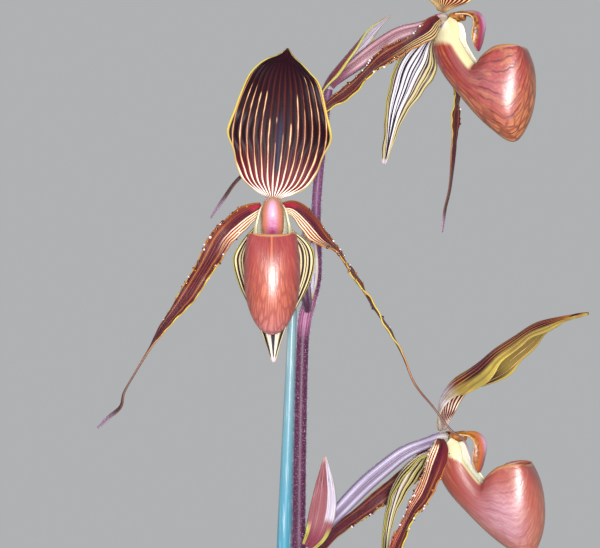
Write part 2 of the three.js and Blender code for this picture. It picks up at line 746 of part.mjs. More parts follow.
function makeDorsal({ spine, roll, turn = 0 }) {
  return sheet(strap({
    spine: spine.map(flowerPoint),
    facing: FRONT,
    halfWidth: DORSAL_OUTLINE,
    turn: (s) => turn * ramp(s, 0, 0.1),
    roll: constant(roll),
    wave: (s, u) => DORSAL_WAVE.height * u * u * Math.sin(DORSAL_WAVE.pace * s + 2 * u),
  }), DORSAL_ROWS, DORSAL_COLUMNS, SEPAL_THICKNESS);
}

function makeSynsepal({ spine, roll, width, turn = 0 }) {
  return sheet(strap({
    spine: spine.map(flowerPoint),
    facing: FRONT,
    halfWidth: (s) => width * SYNSEPAL_OUTLINE(s),
    turn: (s) => turn * ramp(s, 0, 0.25),
    roll: constant(roll),
    wave: (s, u) => SYNSEPAL_WAVE.height * u * u * Math.sin(SYNSEPAL_WAVE.pace * s + u),
  }), SYNSEPAL_ROWS, SYNSEPAL_COLUMNS, SEPAL_THICKNESS);
}

// A petal has a lobe at its foot that rolls back, twists on its way and ends in a thin tail.
function makePetal({ spine, facing, turn, lobeSide }) {
  return sheet(strap({
    spine: spine.map(flowerPoint),
    facing: flowerPoint(facing),
    halfWidth: (s, u) => PETAL_OUTLINE(s) * (u * lobeSide > 0 ? 1 + PETAL_LOBE(s) : 1),
    turn: through(turn),
    roll: (s) => mix(PETAL_LOBE_ROLL, PETAL_ROLL, ramp(s, 0.1, 0.22)),
    wave: (s, u) => PETAL_WAVE.height * u * Math.sin(PETAL_WAVE.pace * s) * (1 - ramp(s, 0.4, 0.7)),
  }), PETAL_ROWS, PETAL_COLUMNS, PETAL_THICKNESS);
}

// A nod tips the pouch's front up, about the point where the parts meet.
function makePouch(nod) {
  const keel = smoothPath(onMiddle(POUCH_KEEL));
  const margin = smoothPath(onMiddle(POUCH_MARGIN));
  const surface = (s, u) => {
    const low = keel.getPoint(s);
    const sweep = POUCH_SWEEP(s);
    const rise = (1 - Math.cos(sweep * u)) / (1 - Math.cos(sweep));
    const point = low.lerp(margin.getPoint(s), rise);
    point.x = POUCH_HALF_WIDTH(s) * Math.sin(sweep * u);
    return point;
  };
  return sheet(surface, POUCH_ROWS, POUCH_COLUMNS, POUCH_THICKNESS).rotateX(-nod);
}

function makeColumn() {
  const stub = stalk(onMiddle(COLUMN_SPINE), constant(COLUMN_RADIUS), COLUMN_ROWS, COLUMN_SIDES);
  const shield = sheet(strap({
    spine: onMiddle(SHIELD_SPINE),
    facing: UP.clone().negate().addScaledVector(FRONT, -1),
    halfWidth: SHIELD_OUTLINE,
    roll: constant(SHIELD_ROLL),
  }), SHIELD_ROWS, SHIELD_COLUMNS, SHIELD_THICKNESS);
  return fromSolid(toSolid(stub).add(toSolid(shield)));
}

function makeOvary(flower) {
  const head = onMiddle(HEAD_SPINE)
    .map((point) => point.applyAxisAngle(UP, flower.yaw).add(vector(flower.attach)));
  const radius = (s) => OVARY_RADIUS(s) * mix(flower.ovaryScale, 1, ramp(s, 0.75, 0.9));
  const path = [...flower.ovary.map(vector), ...head];
  return stalk(path, radius, OVARY_ROWS, OVARY_SIDES, OVARY_RIB, OVARY_CROWDING);
}

function makeBract({ spine, facing, roll, width, turn = 0 }) {
  return sheet(strap({
    spine: spine.map(vector),
    facing: vector(facing),
    halfWidth: (s) => width * BRACT_OUTLINE(s),
    turn: (s) => turn * ramp(s, 0.2, 0.8),
    roll: constant(roll),
  }), BRACT_ROWS, BRACT_COLUMNS, SEPAL_THICKNESS);
}

function makeFlower(name, flower) {
  const bloom = new THREE.Group();
  bloom.position.set(...flower.attach);
  bloom.rotation.z = flower.yaw;
  bloom.add(piece(`${name}_dorsal_sepal`, makeDorsal(flower.dorsal), FINISHES.dorsal));
  bloom.add(piece(`${name}_synsepal`, makeSynsepal(flower.synsepal), FINISHES.synsepal));
  bloom.add(piece(`${name}_left_petal`, makePetal(flower.leftPetal), FINISHES.petal));
  bloom.add(piece(`${name}_right_petal`, makePetal(flower.rightPetal), FINISHES.petal));
  bloom.add(piece(`${name}_pouch`, makePouch(flower.nod), FINISHES.pouch));
  bloom.add(piece(`${name}_column`, makeColumn(), FINISHES.column));
  const spray = new THREE.Group();
  spray.add(bloom);
  spray.add(piece(`${name}_ovary`, makeOvary(flower), FINISHES.ovary));
  spray.add(piece(`${name}_bract`, makeBract(flower.bract), FINISHES.bract));
  return spray;
}

// The whole plant
const orchid = new THREE.Group();
orchid.add(makePot());
orchid.add(makePottingMix());
LEAVES.forEach((leaf, index) => orchid.add(makeLeaf(index)));
orchid.add(makeStem());
orchid.add(piece('stake', stakeRod(STAKE_HEIGHTS, 0), FINISHES.stake));
Object.entries(FLOWERS).forEach(([name, flower]) => orchid.add(makeFlower(name, flower)));

export default orchid;
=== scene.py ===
"""A potted slipper orchid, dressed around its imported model.

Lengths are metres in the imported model's own frame: +Z is up, the front is -Y, and the origin is the
centre of the pot's underside. Shapes that repeat a solid of the model are written in millimetres, as
they are there, and scaled once by MM.
"""

import logging
import math
from collections.abc import Callable, Sequence
from dataclasses import dataclass
from enum import Enum

import bmesh
import bpy
import numpy as np
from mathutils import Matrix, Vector


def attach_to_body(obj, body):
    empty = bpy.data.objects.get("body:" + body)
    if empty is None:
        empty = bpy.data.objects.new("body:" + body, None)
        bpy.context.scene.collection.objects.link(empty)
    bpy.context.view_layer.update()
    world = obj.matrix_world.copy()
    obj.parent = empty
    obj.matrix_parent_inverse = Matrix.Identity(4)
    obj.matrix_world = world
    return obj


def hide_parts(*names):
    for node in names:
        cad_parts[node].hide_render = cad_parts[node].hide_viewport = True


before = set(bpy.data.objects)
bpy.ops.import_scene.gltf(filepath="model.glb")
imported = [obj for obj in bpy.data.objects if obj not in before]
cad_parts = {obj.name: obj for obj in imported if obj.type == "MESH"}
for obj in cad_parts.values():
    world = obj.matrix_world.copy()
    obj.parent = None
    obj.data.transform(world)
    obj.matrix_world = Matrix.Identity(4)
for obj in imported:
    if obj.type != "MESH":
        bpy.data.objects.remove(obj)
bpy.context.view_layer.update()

LOG = logging.getLogger("slipper_orchid")
MM = 0.001
BODY = "root"

Array = np.ndarray
Point = tuple[float, float, float]
Pair = tuple[float, float]
Object = bpy.types.Object
Material = bpy.types.Material
Socket = bpy.types.NodeSocket
Colour = str

STREWN = "strewn"


def ramp(x: Array | float, low: float, high: float) -> Array | float:
    """Smooth step from 0 to 1 as x goes from low to high.

    Args:
        x: The value or values to map.
        low: Where the step starts.
        high: Where the step ends.

    Returns:
        The step's height at each x.
    """
    t = np.clip((np.asarray(x, float) - low) / (high - low), 0, 1)
    return t * t * (3 - 2 * t)


def mix(a: Array | float, b: Array | float, t: Array | float) -> Array | float:
    """Blends from a to b as t goes from 0 to 1."""
    return a + (b - a) * t


def unit(vectors: Array) -> Array:
    """Scales each row of vectors to length one."""
    return vectors / np.maximum(np.linalg.norm(vectors, axis=-1, keepdims=True), 1e-12)


def tone(code: Colour) -> Point:
    """Turns a six-digit display colour into the linear colour that materials take.

    Args:
        code: Red, green and blue as six hexadecimal digits.

    Returns:
        The linear red, green and blue.
    """
    levels = [int(code[i : i + 2], 16) / 255 for i in (0, 2, 4)]
    return tuple(v / 12.92 if v <= 0.04045 else ((v + 0.055) / 1.055) ** 2.4 for v in levels)


class Profile:
    """A smooth curve through (position, value) pairs, level outside them."""

    def __init__(self, *pairs: Pair) -> None:
        """Stores the pairs and their slopes.

        Args:
            pairs: Positions in rising order, each with its value.
        """
        self.x, self.y = (np.array(column, float) for column in zip(*pairs))
        before = np.maximum(np.arange(len(pairs)) - 1, 0)
        after = np.minimum(np.arange(len(pairs)) + 1, len(pairs) - 1)
        self.slope = (self.y[after] - self.y[before]) / (self.x[after] - self.x[before])

    def __call__(self, x: Array | float) -> Array:
        """Returns the curve's value at each x.

        Args:
            x: Where to read it.

        Returns:
            The values.
        """
        x = np.asarray(x, float)
        i = np.clip(np.searchsorted(self.x, x, side="left") - 1, 0, len(self.x) - 2)
        h = self.x[i + 1] - self.x[i]
        t = np.clip((x - self.x[i]) / h, 0, 1)
        t2, t3 = t * t, t * t * t
        start = (2 * t3 - 3 * t2 + 1) * self.y[i] + (t3 - 2 * t2 + t) * h * self.slope[i]
        return start + (3 * t2 - 2 * t3) * self.y[i + 1] + (t3 - t2) * h * self.slope[i + 1]


class SmoothPath:
    """A smooth path through points, measured along its length."""

    STEPS = 400

    def __init__(self, points: Array) -> None:
        """Stores the points and tabulates the length.

        Args:
            points: The points that the path passes, one a row.
        """
        points = np.asarray(points, float)
        first, last = 2 * points[0] - points[1], 2 * points[-1] - points[-2]
        self.knots = np.vstack([first, points, last])
        self.table = np.linspace(0, 1, self.STEPS + 1)
        run = np.linalg.norm(np.diff(self.knot_point(self.table), axis=0), axis=1)
        self.lengths = np.concatenate([[0], np.cumsum(run)])

    def blend(self, t: Array) -> tuple[Array, Array]:
        """Returns the points and directions at knot positions t from 0 to 1.

        Args:
            t: The knot positions.

        Returns:
            The points and the directions.
        """
        spans = len(self.knots) - 3
        place = np.clip(np.asarray(t, float), 0, 1) * spans
        i = np.minimum(place.astype(int), spans - 1)
        w = (place - i)[..., None]
        p0, p1, p2, p3 = (self.knots[i + k] for k in range(4))
        m1, m2 = 0.5 * (p2 - p0), 0.5 * (p3 - p1)
        point = (2 * w**3 - 3 * w**2 + 1) * p1 + (w**3 - 2 * w**2 + w) * m1
        point = point + (3 * w**2 - 2 * w**3) * p2 + (w**3 - w**2) * m2
        way = (6 * w**2 - 6 * w) * (p1 - p2) + (3 * w**2 - 4 * w + 1) * m1 + (3 * w**2 - 2 * w) * m2
        return point, unit(way)

    def knot_point(self, t: Array) -> Array:
        """Returns the points at knot positions t from 0 to 1."""
        return self.blend(t)[0]

    def at(self, s: Array) -> tuple[Array, Array]:
        """Returns the points and directions at shares s of the length."""
        return self.blend(np.interp(np.asarray(s, float) * self.lengths[-1], self.lengths, self.table))


Surface = Callable[[Array, Array], Array]


@dataclass
class Strap:
    """The middle surface of a blade on a spine, in millimetres.

    Attributes:
        spine: Points that the middle line passes.
        facing: The way that the rolled side faces.
        half_width: Half the width at (along, across).
        turn: Angle about the spine, in radians, at each place along it.
        roll: Curvature across the blade at each place along it.
        wave: Height above the rolled surface at (along, across).
    """

    spine: Sequence[Point]
    facing: Point
    half_width: Callable[[Array, Array], Array]
    turn: Callable[[Array], Array] = lambda s: 0 * s
    roll: Callable[[Array], Array] = lambda s: 0 * s
    wave: Callable[[Array, Array], Array] = lambda s, u: 0 * u

    def __call__(self, s: Array, u: Array) -> Array:
        """Returns the points at shares s along the spine and u from -1 to 1 across it.

        Args:
            s: Place along, 0 to 1.
            u: Place across, -1 to 1.

        Returns:
            The points.
        """
        centre, along = SmoothPath(self.spine).at(s)
        across = unit(np.cross(along, np.array(self.facing, float)))
        turn = np.asarray(self.turn(s))[..., None]
        across = across * np.cos(turn) + np.cross(along, across) * np.sin(turn)
        face = np.cross(across, along)
        reach = self.half_width(s, u) * u
        bend = self.roll(s)
        bend = np.where(np.abs(bend) < 1e-6, 1e-6, bend)
        side = np.sin(reach * bend) / bend
        rise = (1 - np.cos(reach * bend)) / bend + self.wave(s, u)
        return centre + across * side[..., None] + face * rise[..., None]


def flower_point(place: Point) -> Point:
    """Turns (side, front, up) in a flower into its own x, y and z."""
    side, front, up = place
    return (side, -front, up)


def on_middle(pairs: Sequence[Pair]) -> Array:
    """Turns (front, up) pairs of a flower's middle plane into points."""
    return np.array([flower_point((0.0, front, up)) for front, up in pairs])


class Side(Enum):
    """The two faces of a blade, as the shaders read them."""

    FRONT = 0.0
    BACK = 1.0


@dataclass
class Sheet:
    """A thin closed skin about a middle surface.

    Attributes:
        surface: Gives the middle points at (along, across), in metres.
        rows: Steps along.
        columns: Steps across.
        thickness: Thickness in the middle, in metres.
        edge: Share of the thickness that is left at the margins.
    """

    surface: Surface
    rows: int
    columns: int
    thickness: float
    edge: float = 0.25

    def mesh(self, name: str) -> Object:
        """Builds the skin as an object.

        Args:
            name: The object's name.

        Returns:
            The object, with the attributes along, across and back and a UV map.
        """
        s, u = np.meshgrid(
            np.linspace(0, 1, self.rows + 1), np.linspace(-1, 1, self.columns + 1), indexing="ij")
        middle = self.surface(s, u)
        normal = unit(np.cross(np.gradient(middle, axis=1), np.gradient(middle, axis=0)))
        taper = self.edge + (1 - self.edge) * np.sqrt(np.clip(1 - u**8, 0, 1)) * np.sqrt(
            np.clip(1 - s**16, 0, 1))
        offset = normal * (self.thickness / 2 * taper)[..., None]
        points = np.vstack([(middle + offset).reshape(-1, 3), (middle - offset).reshape(-1, 3)])
        wide = self.columns + 1
        back = wide * (self.rows + 1)
        i, j = np.meshgrid(np.arange(self.rows), np.arange(self.columns), indexing="ij")
        a = (i * wide + j).ravel()
        front_faces = np.stack([a, a + 1, a + wide + 1, a + wide], axis=1)
        faces = [front_faces, front_faces[:, ::-1] + back]
        j = np.arange(self.columns)
        i = np.arange(self.rows) * wide
        far = self.rows * wide
        faces.append(np.stack([j + 1, j, back + j, back + j + 1], axis=1))
        faces.append(np.stack([far + j, far + j + 1, back + far + j + 1, back + far + j], axis=1))
        faces.append(np.stack([i, i + wide, back + i + wide, back + i], axis=1))
        i = i + self.columns
        faces.append(np.stack([i + wide, i, back + i, back + i + wide], axis=1))
        made = make_object(name, points, np.vstack(faces))
        sides = np.repeat([Side.FRONT.value, Side.BACK.value], back)
        add_values(made, along=np.tile(s.ravel(), 2), across=np.tile(u.ravel(), 2), back=sides)
        return made


def linked(name: str, data: bpy.types.ID) -> Object:
    """Makes an object around its data and links it to the scene.

    Args:
        name: Its name.
        data: What it shows.

    Returns:
        The object.
    """
    made = bpy.data.objects.new(name, data)
    bpy.context.scene.collection.objects.link(made)
    return made


def make_object(name: str, points: Array, faces: Sequence[Sequence[int]] | Array) -> Object:
    """Makes a smooth-shaded mesh object whose faces point outwards.

    Args:
        name: The object's name.
        points: One row for each vertex, in metres.
        faces: Vertex numbers of each face.

    Returns:
        The linked object.
    """
    mesh = bpy.data.meshes.new(name)
    listed = faces.tolist() if isinstance(faces, np.ndarray) else faces
    mesh.from_pydata(np.asarray(points).tolist(), [], listed)
    face_outwards(mesh)
    mesh.shade_smooth()
    return linked(name, mesh)


def face_outwards(mesh: bpy.types.Mesh) -> None:
    """Turns the faces of a closed mesh to point outwards.

    Args:
        mesh: The mesh.
    """
    work = bmesh.new()
    work.from_mesh(mesh)
    if work.calc_volume(signed=True) < 0:
        bmesh.ops.reverse_faces(work, faces=work.faces)
    work.to_mesh(mesh)
    work.free()


def add_values(made: Object, **values: Array) -> None:
    """Stores named numbers on an object's vertices, and a UV map from across and along.

    Args:
        made: The object that takes them.
        values: One array for each attribute, with a number for each vertex.
    """
    mesh = made.data
    for name, numbers in values.items():
        layer = mesh.attributes.new(name, "FLOAT", "POINT")
        layer.data.foreach_set("value", np.asarray(numbers, np.float32))
    if "across" in values and "along" in values:
        corners = np.zeros(len(mesh.loops), np.int32)
        mesh.loops.foreach_get("vertex_index", corners)
        flat = np.stack([(np.asarray(values["across"]) + 1) / 2, np.asarray(values["along"])], axis=1)
        mesh.uv_layers.new(name="UVMap").data.foreach_set("uv", flat[corners].astype(np.float32).ravel())


def turned_about_up(points: Array, yaw: float) -> Array:
    """Turns points about the Z axis by yaw radians."""
    c, s = math.cos(yaw), math.sin(yaw)
    return points @ np.array([[c, s, 0], [-s, c, 0], [0, 0, 1]])


def finish_piece(made: Object, slot: str, *nodes: str) -> Object:
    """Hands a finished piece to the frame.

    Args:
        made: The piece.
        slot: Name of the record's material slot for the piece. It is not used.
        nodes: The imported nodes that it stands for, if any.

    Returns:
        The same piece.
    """
    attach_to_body(made, BODY)
    if nodes:
        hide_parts(*nodes)
    LOG.info("%s: %d faces", made.name, len(made.data.polygons))
    return made


# Node trees


def operator(operation: str, swapped: bool = False) -> Callable[..., "Term"]:
    """Makes a method that adds a Math node on a term and what it is given.

    Args:
        operation: The Math node's operation.
        swapped: True where the term comes last.

    Returns:
        The method.
    """

    def method(self: "Term", *others: "Number") -> "Term":
        """Adds the Math node."""
        return self.tree.math(operation, *(others + (self,) if swapped else (self, *others)))

    return method


class Term:
    """A number, vector or colour inside a node tree, with the usual arithmetic."""

    __add__ = __radd__ = operator("ADD")
    __sub__ = operator("SUBTRACT")
    __rsub__ = operator("SUBTRACT", swapped=True)
    __mul__ = operator("MULTIPLY")
    __pow__ = operator("POWER")
    __abs__ = operator("ABSOLUTE")
    sine = operator("SINE")
    cosine = operator("COSINE")
    fraction = operator("FRACT")
    most = operator("MAXIMUM")

    def __init__(self, tree: "Tree", socket: Socket) -> None:
        """Stores the tree and the socket that gives the number."""
        self.tree = tree
        self.socket = socket

    def step(self, low: "Number", high: "Number") -> "Term":
        """Rises smoothly from 0 at low to 1 at high.

        Args:
            low: Where the rise starts.
            high: Where it ends.

        Returns:
            The risen share.
        """
        smooth = {"interpolation_type": "SMOOTHSTEP"}
        ends = {"From_Min": low, "From_Max": high}
        return self.tree.call("ShaderNodeMapRange", "Result", smooth, Value=self, **ends)

    def fall(self, low: "Number", high: "Number") -> "Term":
        """Falls smoothly from 1 at low to 0 at high."""
        return 1 - self.step(low, high)

    def lines(self, count: "Number", width: "Number", soft: "Number" = 0.12) -> "Term":
        """Draws count lines in each unit, 1 on a line and 0 off it.

        Args:
            count: Lines in a unit.
            width: Share of the spacing that a line takes.
            soft: Share of the spacing over which a line fades at each side.

        Returns:
            How much of a line lies at each place.
        """
        gap = abs((self * count).fraction() - 0.5) * 2
        return gap.fall(width, self.tree.math("ADD", width, soft))


Number = float | Term


class Tree:
    """A node tree that is built by calls."""

    def __init__(self, nodes: bpy.types.NodeTree) -> None:
        """Stores the empty tree."""
        self.nodes = nodes

    def node(self, kind: str, **settings: object) -> bpy.types.Node:
        """Adds a node of a kind and sets its properties.

        Args:
            kind: The node type.
            settings: Its properties.

        Returns:
            The node.
        """
        made = self.nodes.nodes.new(kind)
        for name, value in settings.items():
            setattr(made, name, value)
        return made

    def feed(self, socket: Socket, value: object) -> None:
        """Links a term to an input, or sets the input's own value.

        Args:
            socket: The input.
            value: The term or value for it.
        """
        if isinstance(value, Term):
            self.nodes.links.new(value.socket, socket)
        elif isinstance(value, Colour):
            socket.default_value = (*tone(value), 1.0) if socket.type == "RGBA" else value
        else:
            socket.default_value = value

    def call(
            self, kind: str, output: int | str = 0, settings: dict[str, object] | None = None,
            **inputs: object) -> Term:
        """Adds a node, feeds inputs by name and returns one output.

        Args:
            kind: The node's type.
            output: Number or name of the output.
            settings: The node's properties.
            inputs: Values by input name, with _ for a space.

        Returns:
            The output.
        """
        made = self.node(kind, **(settings or {}))
        for name, value in inputs.items():
            wanted = name.replace("_", " ")
            socket = next(s for s in made.inputs if s.name == wanted and s.enabled)
            self.feed(socket, value)
        return Term(self, made.outputs[output])

    def math(self, operation: str, *values: Number) -> Term:
        """Adds a Math node on one to three numbers.

        Args:
            operation: What the node does.
            values: Its inputs.

        Returns:
            The result.
        """
        made = self.node("ShaderNodeMath", operation=operation)
        for socket, value in zip(made.inputs, values):
            self.feed(socket, value)
        return Term(self, made.outputs[0])

    def joined(self, x: Number, y: Number, z: Number = 0.0) -> Term:
        """Makes a vector of three numbers."""
        return self.call("ShaderNodeCombineXYZ", X=x, Y=y, Z=z)


@dataclass(frozen=True)
class Skin:
    """How a finish takes the light, apart from its colour.

    Attributes:
        roughness: How matt it is, from 0 to 1.
        relief: Depth of its fine relief, in metres.
        specular: Strength of its mirror light.
        sheen: Strength of the soft light at its edges.
        sheen_roughness: How widely that light spreads.
        sheen_tint: The colour of that light, or None for white.
        coat: Strength of its clear outer layer.
        coat_roughness: How matt that layer is.
        flesh: How much light soaks into it.
        flesh_depth: How deep that light goes, in metres.
    """

    roughness: float
    relief: float = 0.0
    specular: float = 0.5
    sheen: float = 0.0
    sheen_roughness: float = 0.35
    sheen_tint: Colour | None = None
    coat: float = 0.0
    coat_roughness: float = 0.35
    flesh: float = 0.0
    flesh_depth: float = 0.002

    def inputs(self) -> dict[str, float | Colour]:
        """Gives the surface shader's constant inputs by name.

        Returns:
            Values by input name.
        """
        values: dict[str, float | Colour] = {"Specular IOR Level": self.specular}
        if self.sheen:
            values |= {"Sheen Weight": self.sheen, "Sheen Roughness": self.sheen_roughness}
        if self.sheen_tint:
            values["Sheen Tint"] = self.sheen_tint
        if self.coat:
            values |= {"Coat Weight": self.coat, "Coat Roughness": self.coat_roughness}
        if self.flesh:
            values |= {"Subsurface Weight": self.flesh, "Subsurface Scale": self.flesh_depth}
        return values


class Shader(Tree):
    """The nodes of one material."""

    def __init__(self, name: str) -> None:
        """Starts an empty material.

        Args:
            name: Its name.
        """
        self.material = bpy.data.materials.new(name)
        self.material.use_nodes = True
        super().__init__(self.material.node_tree)
        self.nodes.nodes.clear()

    def value(self, name: str) -> Term:
        """Reads a number that the mesh carries."""
        made = self.node("ShaderNodeAttribute", attribute_name=name)
        return Term(self, made.outputs["Fac"])

    def values(self, *names: str) -> tuple[Term, ...]:
        """Reads several numbers that the mesh carries."""
        return tuple(self.value(name) for name in names)

    def place(self) -> Term:
        """Reads the place on the object, in metres."""
        return Term(self, self.node("ShaderNodeTexCoord").outputs["Object"])

    def axes(self) -> tuple[Term, ...]:
        """Reads the place on the object as its x, its y and its height."""
        parts = self.call("ShaderNodeSeparateXYZ", Vector=self.place()).socket.node
        return tuple(Term(self, socket) for socket in parts.outputs)

    def around(self) -> Term:
        """Reads how far round a stalk it is, from 0 to 1."""
        angle = self.math("ARCTAN2", self.value("turn_y"), self.value("turn_x"))
        return angle * (1 / math.tau) + 0.5

    def noise(self, scale: float, detail: float = 2.0, at: Term | None = None) -> Term:
        """Soft random values about 0.5.

        Args:
            scale: Features in a unit.
            detail: Finer layers.
            at: Where it is read, or None for the place on the object.

        Returns:
            The value.
        """
        where = at or self.place()
        return self.call("ShaderNodeTexNoise", "Fac", Vector=where, Scale=scale, Detail=detail)

    def cloud(self, x: Number, y: Number, z: Number = 0.0, detail: float = 2.0) -> Term:
        """Soft random values about 0.5 over two or three numbers of a piece's own."""
        return self.noise(1.0, detail, self.joined(x, y, z))

    def cells(self, scale: float, feature: str = "F1", at: Term | None = None) -> Term:
        """Distance within a net of random cells.

        Args:
            scale: Cells in one unit.
            feature: What is measured.
            at: Where, if not in the piece's own space.

        Returns:
            The distance.
        """
        where = at or self.place()
        return self.call(
            "ShaderNodeTexVoronoi", "Distance", {"feature": feature}, Vector=where, Scale=scale)

    def blend(self, amount: Number, first: "Paint", second: "Paint") -> Term:
        """Mixes two colours.

        Args:
            amount: Share of the second.
            first: The first one.
            second: The second one.

        Returns:
            The mixed colour.
        """
        made = self.node("ShaderNodeMix", data_type="RGBA")
        self.feed(made.inputs[0], amount)
        self.feed(made.inputs[6], first)
        self.feed(made.inputs[7], second)
        return Term(self, made.outputs[2])

    def layers(self, base: "Paint", *coats: tuple[Number, "Paint"]) -> "Paint":
        """Lays coats of colour over a base, each with its amount.

        Args:
            base: The lowest colour.
            coats: Pairs of amount and colour.

        Returns:
            The top colour.
        """
        for amount, colour in coats:
            base = self.blend(amount, base, colour)
        return base

    def surface(
            self, colour: "Paint", skin: Skin, height: Number | None = None,
            uneven: Term | None = None) -> Material:
        """Ends the material in one surface shader.

        Args:
            colour: The colour.
            skin: How it takes the light.
            height: The fine relief, from 0 to 1, if any.
            uneven: What is added to the roughness, if anything.

        Returns:
            The finished material.
        """
        roughness = skin.roughness if uneven is None else uneven + skin.roughness
        values = {"Base Color": colour, "Roughness": roughness, **skin.inputs()}
        if height is not None:
            bump = self.call("ShaderNodeBump", Height=height, Strength=1.0, Distance=skin.relief)
            values["Normal"] = bump
        shader = self.node("ShaderNodeBsdfPrincipled")
        for name, value in values.items():
            self.feed(shader.inputs[name], value)
        output = self.node("ShaderNodeOutputMaterial")
        self.nodes.links.new(shader.outputs[0], output.inputs[0])
        return self.material


Paint = Colour | Term


# Finishes


@dataclass(frozen=True)
class PotFinish:
    """Terracotta-coloured matt plastic with scuffs and a fine moulded grain."""

    body: Colour = "a4603e"
    shade: Colour = "8a4c30"
    dust: Colour = "c9a58a"
    skin: Skin = Skin(0.48, 0.00012, specular=0.4)

    def material(self) -> Material:
        """Builds the material.

        Returns:
            The material.
        """
        shader = Shader("pot_plastic")
        cloudy = shader.noise(38.0, 4.0).step(0.35, 0.7)
        height = shader.axes()[2]
        dusty = shader.noise(150.0, 5.0).step(0.56, 0.74) * (1 - height.step(0.0, 0.03) * 0.7) * 0.5
        colour = shader.layers(self.body, (cloudy * 0.55, self.shade), (dusty, self.dust))
        return shader.surface(colour, self.skin, shader.noise(2600.0), cloudy * 0.12)


@dataclass(frozen=True)
class BarkFinish:
    """Coarse damp bark in several browns."""

    dark: Colour = "3a2416"
    middle: Colour = "6b4529"
    pale: Colour = "96704a"
    skin: Skin = Skin(0.92, 0.0009)

    def material(self) -> Material:
        """Builds the material.

        Returns:
            The material.
        """
        shader = Shader("bark_mix")
        chip = shader.value("shade")
        grain = shader.noise(520.0, 6.0)
        colour = shader.layers(
            self.dark, (chip, self.middle), (grain.step(0.5, 0.72) * 0.7, self.pale),
            (shader.noise(90.0, 3.0).step(0.58, 0.7) * 0.5, self.dark))
        return shader.surface(colour, self.skin, grain)


@dataclass(frozen=True)
class StakeFinish:
    """Pale blue gloss plastic, worn a little."""

    top: Colour = "7c9aa2"
    low: Colour = "4a90a8"
    scuff: Colour = "e2edf0"
    skin: Skin = Skin(0.3, 0.00008)

    def material(self) -> Material:
        """Builds the material.

        Returns:
            The material.
        """
        shader = Shader("stake_blue")
        x, y, height = shader.axes()
        streak = shader.cloud(x * 900, y * 900, height * 45, detail=4.0).step(0.54, 0.72)
        colour = shader.layers(self.low, (height.step(0.40, 0.50), self.top), (streak * 0.35, self.scuff))
        return shader.surface(colour, self.skin, streak, streak * 0.2)


@dataclass(frozen=True)
class LeafFinish:
    """Glossy green strap leaf with fine length-wise veins and a paler underside."""

    face: Colour = "3f6d28"
    light: Colour = "6d9440"
    deep: Colour = "28501c"
    under: Colour = "7c9a58"
    skin: Skin = Skin(0.4, 0.00022, specular=0.35)

    def material(self) -> Material:
        """Builds the material.

        Returns:
            The material.
        """
        shader = Shader("leaf_green")
        across, along, back = shader.values("across", "along", "back")
        veins = across.lines(13.0, 0.16, 0.5)
        cloudy = shader.cloud(across * 5, along * 22, detail=4.0).step(0.35, 0.7)
        midrib = 1 - abs(across).step(0.015, 0.07)
        face = shader.layers(
            self.face, (cloudy * 0.6, self.deep), (veins * 0.3, self.light), (midrib * 0.45, self.deep),
            (abs(across).step(0.93, 1.0) * 0.6, self.light))
        under = shader.layers(self.under, (veins * 0.35, self.face), (midrib * 0.5, self.face))
        foot = along.fall(0.04, 0.16)
        colour = shader.layers(shader.blend(back, face, under), (foot * 0.6, self.under))
        return shader.surface(colour, self.skin, veins * 0.5 + shader.noise(1400.0) * 0.3, back * 0.12)


@dataclass(frozen=True)
class FuzzFinish:
    """Fine hairs, some painted pale as if they catch the light.

    Attributes:
        tip: Their paler colour, partly their own and partly a painted highlight on hairs picked at random.
        root: Their own darker colour.
        skin: How they take the light.
    """

    name: str
    tip: Colour
    root: Colour
    skin: Skin = Skin(0.45, sheen=0.4, sheen_roughness=0.4)

    def material(self) -> Material:
        """Builds the material.

        Returns:
            The material.
        """
        shader = Shader(self.name)
        # Painted highlight: hairs picked at random take the paler colour, as if lit.
        colour = shader.blend(shader.noise(600.0, 1.0).step(0.4, 0.62), self.root, self.tip)
        return shader.surface(colour, self.skin)


@dataclass(frozen=True)
class StemFinish:
    """Dark purple stem, rose at its node, with a painted mauve highlight towards the top and pale dots painted
    as glints on its hairs.
    """

    dark: Colour = "4c1e3c"
    highlight_mauve: Colour = "74446c"
    brown: Colour = "5a2440"
    pale: Colour = "b58aac"
    rose: Colour = "8c3460"
    green: Colour = "5f6a35"
    node_height: float = 0.503
    streaks: float = 16.0
    skin: Skin = Skin(0.45, 0.00015, specular=0.35, sheen=0.25, sheen_tint="cfb4d6")

    def material(self) -> Material:
        """Builds the material.

        Returns:
            The material.
        """
        shader = Shader("stem_purple")
        height = shader.axes()[2]
        cloudy = shader.noise(260.0, 4.0)
        # Painted glints: the pale dots stand for light caught by the hairs; the same dots also make the bump.
        glint_dots = shader.cells(1000.0).step(0.08, 0.34)
        node = 1 - abs(height - self.node_height).step(0.002, 0.012)
        streaks = shader.around().lines(self.streaks, 0.25, 0.5)
        # Painted highlight: the lighter mauve over the upper stem stands for the lamp's light on it.
        colour = shader.layers(
            self.dark, (height.step(0.50, 0.56) * 0.7, self.highlight_mauve),
            (cloudy.step(0.45, 0.7) * 0.35, self.brown), ((1 - glint_dots) * 0.6, self.pale),
            (node * 0.8, self.rose), (node * streaks * 0.6, self.pale),
            (height.fall(0.12, 0.30) * 0.5, self.green))
        return shader.surface(colour, self.skin, glint_dots + cloudy)


